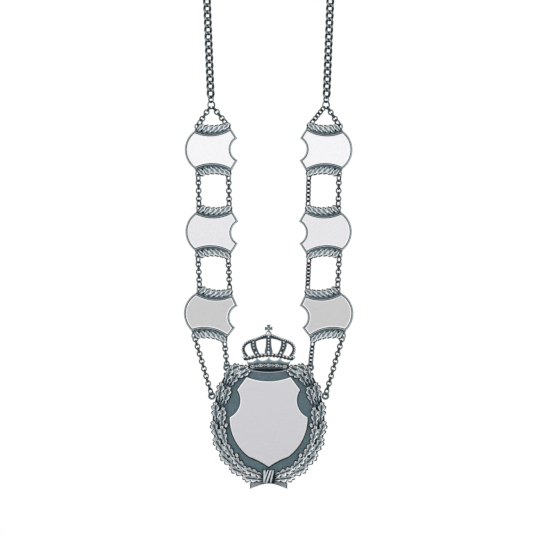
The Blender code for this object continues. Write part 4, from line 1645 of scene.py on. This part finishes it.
    def add_orb(self) -> None:
        """Model the orb and the cross on it."""
        v = self.shoulder + self.rise
        self.relief.pearl(0.0, v, self.orb_y, self.orb_radius, self.orb_tone)
        arm = self.cross_arm
        bar = self.cross_bar
        top = v + self.cross_height
        middle = top - arm
        right = [
            (bar, v + self.cross_foot * self.orb_radius),
            (bar, middle - bar),
            (arm, middle - 2.0 * bar),
            (arm, middle + 2.0 * bar),
            (bar, middle + bar),
            (2.0 * bar, top),
        ]
        self.relief.stack(drawn_in(right + mirrored(right), self.cross_tiers))
        self.relief.pearl(0.0, middle, self.cross_pearl_y, bar, self.orb_tone)

    def build(self) -> None:
        """Model the whole crown."""
        pitch, radius, shift = self.outer_pearls
        for side in (-1.0, 1.0):
            outer = self.add_bar(self.outer_arch, 1, side)
            self.add_pearls(outer, pitch, radius, -side * shift)
            middle = self.add_bar(self.middle_arch, 2, side)
            self.add_pearls(middle[slice(*self.middle_run)], *self.arch_pearls)
            self.relief.pearl(*middle[self.crossing][:2], self.pearl_y, self.crossing_pearl)
        centre = self.add_bar(self.centre_arch, 3)
        self.add_pearls(centre[: self.centre_end], *self.arch_pearls)
        foot = self.shoulder + self.middle_pearl_rise * self.rise
        self.relief.pearl(0.0, foot, self.pearl_y, self.middle_pearl, stretch=self.middle_pearl_stretch)
        self.add_circlet()
        self.add_figures()
        self.add_far_rim()
        row = self.add_bar(both_ways(self.pearl_row), 4)
        self.add_pearls(row, *self.row_pearls)
        waves = [(u, v - self.wave_drops[index % 2], self.wave_y) for index, (u, v, _) in enumerate(row)]
        wave = through(waves[slice(*self.wave_run)], self.wave_spans)
        self.relief.cord(wave, self.wave_radius, 0.0)
        self.add_orb()


@dataclass(frozen=True)
class Ribbon:
    """The ribbon that ties the wreath: a knot of slanting turns and two flared tails.

    A turn is a table row of its two ends, each with u and v, and its half width.
    """

    relief: Relief
    rim: float
    knot_top: float
    knot_half_width: float = 4.7 * MM
    knot_height: float = 2.6 * MM
    knot_spans: int = 48
    knot_round: float = 0.8
    knot_droop: float = 0.25
    knot_foot: float = 0.3
    knot_dome: float = 0.45
    front: float = -0.8 * MM
    back: float = 0.6 * MM
    tail_height: float = 1.2 * MM
    tail_root: Point = (1.0 * MM, 3.0 * MM)
    tail_foot: Point = (14.8 * MM, -4.3 * MM)
    tail_tip: Point = (15.0 * MM, 0.2 * MM)
    tail_spans: int = 24
    tail_lean: float = 0.5 * MM
    tail_notch: float = 1.1 * MM
    tail_flat: float = 0.7
    tail_tones: Triple = (0.36, 0.5, 0.12)
    border_tone: float = 0.3
    folds: float = 5.0
    fold_sway: float = 0.3
    fold_turns: float = 5.0
    waist: float = 0.08
    turn_height: float = 0.95 * MM
    turn_start: float = 0.55
    knot_tone: float = 0.88
    borders: Point = (0.07, 0.06)
    turns: tuple[tuple[float, float, float, float, float], ...] = (
        (-3.25 * MM, -36.6 * MM, -3.65 * MM, -47.4 * MM, 1.6 * MM),
        (-0.2 * MM, -36.6 * MM, -3.0 * MM, -44.5 * MM, 0.9 * MM),
        (2.1 * MM, -36.8 * MM, -1.5 * MM, -47.4 * MM, 1.25 * MM),
        (3.8 * MM, -37.5 * MM, 1.6 * MM, -47.4 * MM, 1.15 * MM),
    )

    def lift(self, u: float, v: float) -> float:
        """How high the turns of the knot stand at a place.

        Args:
            u: The place across.
            v: The place up.

        Returns:
            0 between two turns, 1 on a crest.
        """
        best = 0.0
        for start_u, start_v, end_u, end_v, half_width in self.turns:
            run = Vector((end_u - start_u, end_v - start_v)).normalized()
            off = (u - start_u) * run.y - (v - start_v) * run.x
            best = max(best, math.sqrt(max(0.0, 1.0 - (off / half_width) ** 2)))
        return best

    def add_knot(self) -> None:
        """Model the knot."""
        rows = []
        for step in range(self.knot_spans + 1):
            up = step / self.knot_spans
            v = between(self.rim, self.knot_top, up)
            off_middle = 2.0 * up - 1.0
            row = []
            for column in range(self.knot_spans + 1):
                t = 2.0 * column / self.knot_spans - 1.0
                u = t * self.knot_half_width * (1.0 + self.waist * off_middle**2)
                lift = self.lift(u, v)
                dome = math.sqrt(1.0 - self.knot_round * t * t) * (1.0 - self.knot_droop * off_middle**4)
                height = self.knot_height * (self.knot_foot + self.knot_dome * dome)
                y = self.front - height - self.turn_height * lift
                border = smooth_step(0.0, self.borders[0], min(1.0 - abs(t), up, 1.0 - up))
                crest = smooth_step(self.turn_start, 1.0, lift)
                rub_and_light = self.knot_tone * crest * (0.5 + 0.5 * dome) * border
                row.append((u, v, y, rub_and_light))
            rows.append(row)
        self.relief.sheet(rows, self.front)

    def add_tail(self, side: float) -> None:
        """Model one tail with its folds.

        Args:
            side: -1 on the left, 1 on the right.
        """
        root_u, root_v = self.tail_root
        plain, folded, end = self.tail_tones
        rows = []
        for step in range(self.tail_spans + 1):
            s = step / self.tail_spans
            foot_u = between(root_u, self.tail_foot[0], s)
            foot_v = self.rim + self.tail_foot[1] * s**1.5
            top_u = between(root_u, self.tail_tip[0], s)
            top_v = self.rim + between(root_v, self.tail_tip[1], s)
            row = []
            for column in range(self.tail_spans + 1):
                t = column / self.tail_spans
                turns = self.folds * t + self.fold_sway * math.sin(self.fold_turns * s)
                fold = 0.5 + 0.5 * math.cos(2.0 * math.pi * turns)
                u = between(foot_u, top_u, t) - self.tail_notch * math.sin(math.pi * t) * s**4
                y = self.front - self.tail_height * between(self.tail_flat, 1.0, fold) - self.tail_lean * s
                border = smooth_step(0.0, self.borders[1], min(t, 1.0 - t))
                rub_and_light = (plain + folded * fold + end * s) * between(self.border_tone, 1.0, border)
                row.append((side * u, between(foot_v, top_v, t), y, rub_and_light))
            rows.append(row)
        self.relief.sheet(rows, self.back)

    def build(self) -> None:
        """Model both tails and the knot."""
        for side in (-1.0, 1.0):
            self.add_tail(side)
        self.add_knot()


@dataclass(frozen=True)
class Shield:
    """The bright bevelled plate on the medallion's field.

    A corner is its u and v and the rise of the edge that starts there, as shares of the field's sizes.
    """

    seat: Seat
    field: Oval
    # A dark sheet a little larger than the shield and dropped below it paints the shield's shadow on the
    # field: how far it reaches out, how far it drops, and its depths.
    groove: float = 0.6 * MM
    groove_drop: float = 0.4 * MM
    groove_depths: Point = (-1.1 * MM, -1.25 * MM)
    spacing: float = 1.3 * MM
    top_spans: int = 36
    least_spans: int = 4
    tiers: Tiers = ((0.0, -1.4, 0.0), (0.0, -2.36, 0.1), (0.1, -2.48, 0.9, 1), (0.8, -2.6, 1.0, 1))
    corners: Rows = (
        (0.0, -0.9, 0.018),
        (0.46, -0.69, -0.124),
        (0.915, 0.096, 0.153),
        (0.74, 0.54, 0.0),
        (0.515, 0.75, 0.1),
    )

    def outline(self) -> Outline:
        """The shield's counter-clockwise outline.

        Returns:
            Its points.
        """
        wide = self.field.half_width
        places = []
        for u, v, _ in self.corners:
            height = self.field.rise_up if v > 0.0 else self.field.depth_down
            places.append((u * wide, v * height))
        right = []
        for (_, _, rise), start, end in zip(self.corners, places, places[1:]):
            spans = max(self.least_spans, int(math.dist(start, end) / self.spacing))
            right += arc(start, end, rise * wide, spans)
        top = places[-1]
        top_left = (-top[0], top[1])
        top_edge = arc(top, top_left, self.corners[-1][2] * wide, self.top_spans)
        return [*right, *top_edge, top_left, *mirrored(right[1:])]

    def build(self, finishes: Finishes) -> None:
        """Make the shield and hand it over.

        Args:
            finishes: The shared finishes.
        """
        outline = self.outline()
        # Painted shadow: the shield's outline grown and moved down, laid dark on the field behind the shield.
        groove = [(u, v - self.groove_drop) for u, v in inset(outline, -self.groove)]
        relief = Relief(self.seat)
        foot = [Level(groove, y, 0.0) for y in self.groove_depths]
        relief.stack(foot + drawn_in(outline, self.tiers), 2)
        plate = relief.finished("medallion_shield_plate", (finishes.casting, finishes.edge, finishes.brushed))
        hand_over(plate, ("medallion_shield",))


@dataclass(frozen=True)
class Medallion:
    """The casting that carries the wreath, the crown, the ribbon and four lugs.

    A lug's place is its share along the wreath and its standoff.
    """

    seat: Seat
    wreath: Wreath
    lug_radius: float = 3.1 * MM
    lug_hole: float = 1.4 * MM
    lug_half_thickness: float = 0.75 * MM
    lug_tone: float = 0.45
    upper_lug: Point = (0.975, 2.1 * MM)
    side_lug: Point = (0.793, 3.4 * MM)
    circlet_lap: float = 1.0 * MM
    knot_lap: float = 2.0 * MM

    def lug(self, side: float, place: Point) -> Point:
        """Middle of a lug's hole.

        Args:
            side: -1 on the left, 1 on the right.
            place: The lug's place.

        Returns:
            The middle.
        """
        rim = self.wreath.rim
        edge = rim.point(side * place[0])
        outward = Vector((edge.x / rim.half_width**2, edge.y / rim.rise_up**2)).normalized()
        return tuple(edge + outward * place[1])

    def lug_hold(self, side: float, place: Point) -> Hold:
        """The same hole in the chain's own frame."""
        return Hold(self.seat.at(*self.lug(side, place)), self.lug_hole)

    def build(self, finishes: Finishes) -> None:
        """Make the medallion and hand it over.

        Args:
            finishes: The shared finishes.
        """
        relief = Relief(self.seat)
        self.wreath.add_to(relief)
        for side in (-1.0, 1.0):
            for place in (self.upper_lug, self.side_lug):
                middle = self.lug(side, place)
                relief.eye(middle, self.lug_hole, self.lug_radius, self.lug_half_thickness, self.lug_tone)
        shoulder = self.wreath.point(1.0, 1.0).y - self.circlet_lap + Crown.circlet_height
        Crown(relief, shoulder).build()
        Ribbon(relief, -self.wreath.rim.depth_down, self.knot_lap - self.wreath.field.depth_down).build()
        casting = relief.finished("medallion_casting", (finishes.casting, finishes.field))
        hand_over(casting, ("medallion",))


@dataclass(frozen=True)
class Studio:
    """Camera, lights, backdrop light and floor.

    A fade of the room's light holds its strength at two places, then those places along its axis.
    """

    view_width: float = 426.4 * MM
    view_middle: Point = (-1.7 * MM, -262.55 * MM)
    lens: float = 200.0
    sensor: float = 36.0
    clip_end: float = 50.0
    floor_z: float = -0.75
    floor_radius: float = 1.6
    floor_sides: int = 64
    floor_roughness: float = 0.9
    floor_grain: float = 3.0
    front_fade: tuple[float, float, float, float] = (1.05, 0.08, -1.0, 0.25)
    side_fade: tuple[float, float, float, float] = (0.6, 0.0, -1.0, -0.15)
    back_fade: tuple[float, float, float, float] = (0.0, 0.6, 0.7, 1.0)

    def add_camera(self) -> None:
        """Place the long-lens camera straight in front."""
        camera = bpy.data.cameras.new("camera")
        camera.lens = self.lens
        camera.sensor_width = self.sensor
        camera.clip_end = self.clip_end
        eye = bpy.data.objects.new("camera", camera)
        eye.location = (self.view_middle[0], -self.view_width * self.lens / self.sensor, self.view_middle[1])
        eye.rotation_euler = (0.5 * math.pi, 0.0, 0.0)
        bpy.context.scene.collection.objects.link(eye)
        bpy.context.scene.camera = eye

    def add_panel(self, name: str, place: Triple, size: Point, glow: float) -> None:
        """Hang a soft light panel.

        Args:
            name: Its name.
            place: Its middle.
            size: Its width and height.
            glow: Its brightness, where 1 is white.
        """
        lamp = bpy.data.lights.new(name, "AREA")
        lamp.shape = "RECTANGLE"
        lamp.size, lamp.size_y = size
        lamp.energy = glow * math.pi * size[0] * size[1]
        light = bpy.data.objects.new(name, lamp)
        light.location = place
        aim = Vector((0.0, 0.0, self.view_middle[1])) - Vector(place)
        light.rotation_euler = aim.to_track_quat("-Z", "Y").to_euler()
        light.visible_camera = False
        bpy.context.scene.collection.objects.link(light)

    def add_world(self) -> None:
        """Light the room: pale in front of the chain, darker to its sides and behind it."""
        world = bpy.data.worlds.new("room")
        world.use_nodes = True
        bpy.context.scene.world = world
        graph = Graph(world.node_tree)
        nodes = graph.tree.nodes
        parts = nodes.new("ShaderNodeSeparateXYZ")
        graph.join(nodes.new("ShaderNodeTexCoord").outputs["Generated"], parts.inputs[0])
        in_front = graph.ranged(parts.outputs["Y"], *self.front_fade)
        beside = graph.ranged(parts.outputs["X"], *self.side_fade)
        behind = graph.ranged(parts.outputs["Y"], *self.back_fade)
        pick = nodes.new("ShaderNodeMix")
        graph.join(nodes.new("ShaderNodeLightPath").outputs["Is Camera Ray"], pick.inputs["Factor"])
        graph.join(graph.added(graph.added(in_front, beside), behind), pick.inputs["A"])
        pick.inputs["B"].default_value = 1.0
        background = nodes["Background"]
        graph.join(pick.outputs["Result"], background.inputs["Strength"])
        background.inputs["Color"].default_value = (1.0, 1.0, 1.0, 1.0)

    def add_floor(self) -> None:
        """Lay a round pale floor below the chain."""
        recipe = Recipe("pale_floor")
        stops = ((0.3, (0.86, 0.86, 0.86)), (0.7, (0.9, 0.9, 0.9)))
        recipe.feed("Base Color", recipe.ramp(recipe.noise(self.floor_grain, 2.0), stops))
        recipe.shader.inputs["Roughness"].default_value = self.floor_roughness
        work = Mesh()
        bmesh.ops.create_circle(work.bm, cap_ends=True, radius=self.floor_radius, segments=self.floor_sides)
        floor = work.finished("floor", (recipe.material,))
        floor.location.z = self.floor_z

    def build(self) -> None:
        """Set up the whole studio."""
        self.add_camera()
        self.add_world()
        self.add_panel("key_panel", (-1.0, -0.8, 0.55), (0.7, 0.7), 1.2)
        self.add_panel("fill_panel", (1.1, -0.6, -0.5), (0.6, 0.8), 0.4)
        self.add_floor()
        bpy.context.scene.view_settings.view_transform = "Standard"


@dataclass(frozen=True)
class Suspension:
    """The rings and strands between the neck chain, the plates and the medallion on one side."""

    side: Side
    plates: tuple[Plate, ...]
    medallion: Medallion
    apex_ring: Link = Link(7.0 * MM, 7.0 * MM, 1.15 * MM, steps=40, sides=12)
    end_ring: Link = Link(6.2 * MM, 6.2 * MM, 1.15 * MM, steps=40, sides=12)
    apex_turn: float = math.radians(25.0)
    end_turn: float = math.radians(-45.0)
    roll_open: float = math.radians(-2.0)
    roll_rest: float = math.radians(36.0)

    def build(self, down: Vector, finish: Material) -> None:
        """Make every ring and strand of this side.

        Args:
            down: Direction of the neck chain at its end.
            finish: The wire's finish.
        """
        label = self.side.label
        side = self.side.value
        Ring("end_ring_" + label, down, self.end_turn, self.end_ring).build(finish)
        middle = Ring("apex_ring_" + label, down, self.apex_turn, self.apex_ring).build(finish)
        apex = Hold(middle, 0.5 * self.apex_ring.length - self.apex_ring.wire)
        for end, where in ((-1.0, "inner"), (1.0, "outer")):
            last = self.medallion.upper_lug if end < 0.0 else self.medallion.side_lug
            uppers = [apex, *(plate.lug_hold(end, -1.0) for plate in self.plates)]
            lowers = [plate.lug_hold(end, 1.0) for plate in self.plates]
            lowers.append(self.medallion.lug_hold(side, last))
            for row, (upper, lower) in enumerate(zip(uppers, lowers), start=1):
                LinkStrand(
                    name=f"strand_{label}_{row}_{where}",
                    upper=upper,
                    lower=lower,
                    upper_ring=row in (2, 3) or (row == 4 and end < 0.0),
                    lower_ring=row < 4 or end > 0.0,
                    side=side,
                    roll=self.roll_rest if self.side is Side.RIGHT and end < 0.0 else self.roll_open,
                    first_turned=row == 1,
                ).build(finish)


MEDALLION_SEAT = Seat(0.0, -387.81 * MM)
PLATE_HANGS = (
    (44.57 * MM, -169.15 * MM, math.radians(-1.0)),
    (44.02 * MM, -234.85 * MM, math.radians(1.35)),
    (45.3 * MM, -300.55 * MM, math.radians(6.5)),
)
# Lit and shaded copies of the one satin, one for each row of plates: painted lighter on the top row and
# darker further down, where less light falls.
SATIN_LIGHT_BY_ROW = (
    ("satin_bright", (0.94, 0.94, 0.955)),
    ("satin_soft", (0.83, 0.82, 0.85)),
    ("satin_grey", (0.63, 0.63, 0.635)),
)
BRUSHED_TONE = (0.71, 0.71, 0.74)


def main() -> None:
    """Build the studio, then the chain from its neck to its medallion."""
    logging.basicConfig(level=logging.INFO, format="%(message)s")
    brushed = SatinSilver(satin_stops(BRUSHED_TONE), (0.33, 0.43), stretch=(60.0, 60.0, 4200.0))
    finishes = Finishes(
        casting=AntiqueSilver().material("antique_silver"),
        satin=tuple(SatinSilver(satin_stops(colour)).material(name) for name, colour in SATIN_LIGHT_BY_ROW),
        brushed=brushed.material("brushed_silver"),
        edge=PolishedEdge().material("cut_edge"),
        field=SpeckledField().material("speckled_field"),
        wire=DarkWire().material("dark_wire"),
    )
    Studio().build()
    neck = NeckChain()
    neck.build(finishes.wire)
    wreath = Wreath()
    medallion = Medallion(MEDALLION_SEAT, wreath)
    for side in Side:
        seats = [Seat(x, z, side.value, tilt) for x, z, tilt in PLATE_HANGS]
        plates = tuple(Plate(side, row, seat) for row, seat in enumerate(seats, start=1))
        _, along = neck.point(side.value * neck.half_length())
        Suspension(side, plates, medallion).build(along * side.value, finishes.wire)
        for plate in plates:
            plate.build(finishes)
    medallion.build(finishes)
    Shield(MEDALLION_SEAT, wreath.field).build(finishes)


if __name__ == "__main__":
    main()
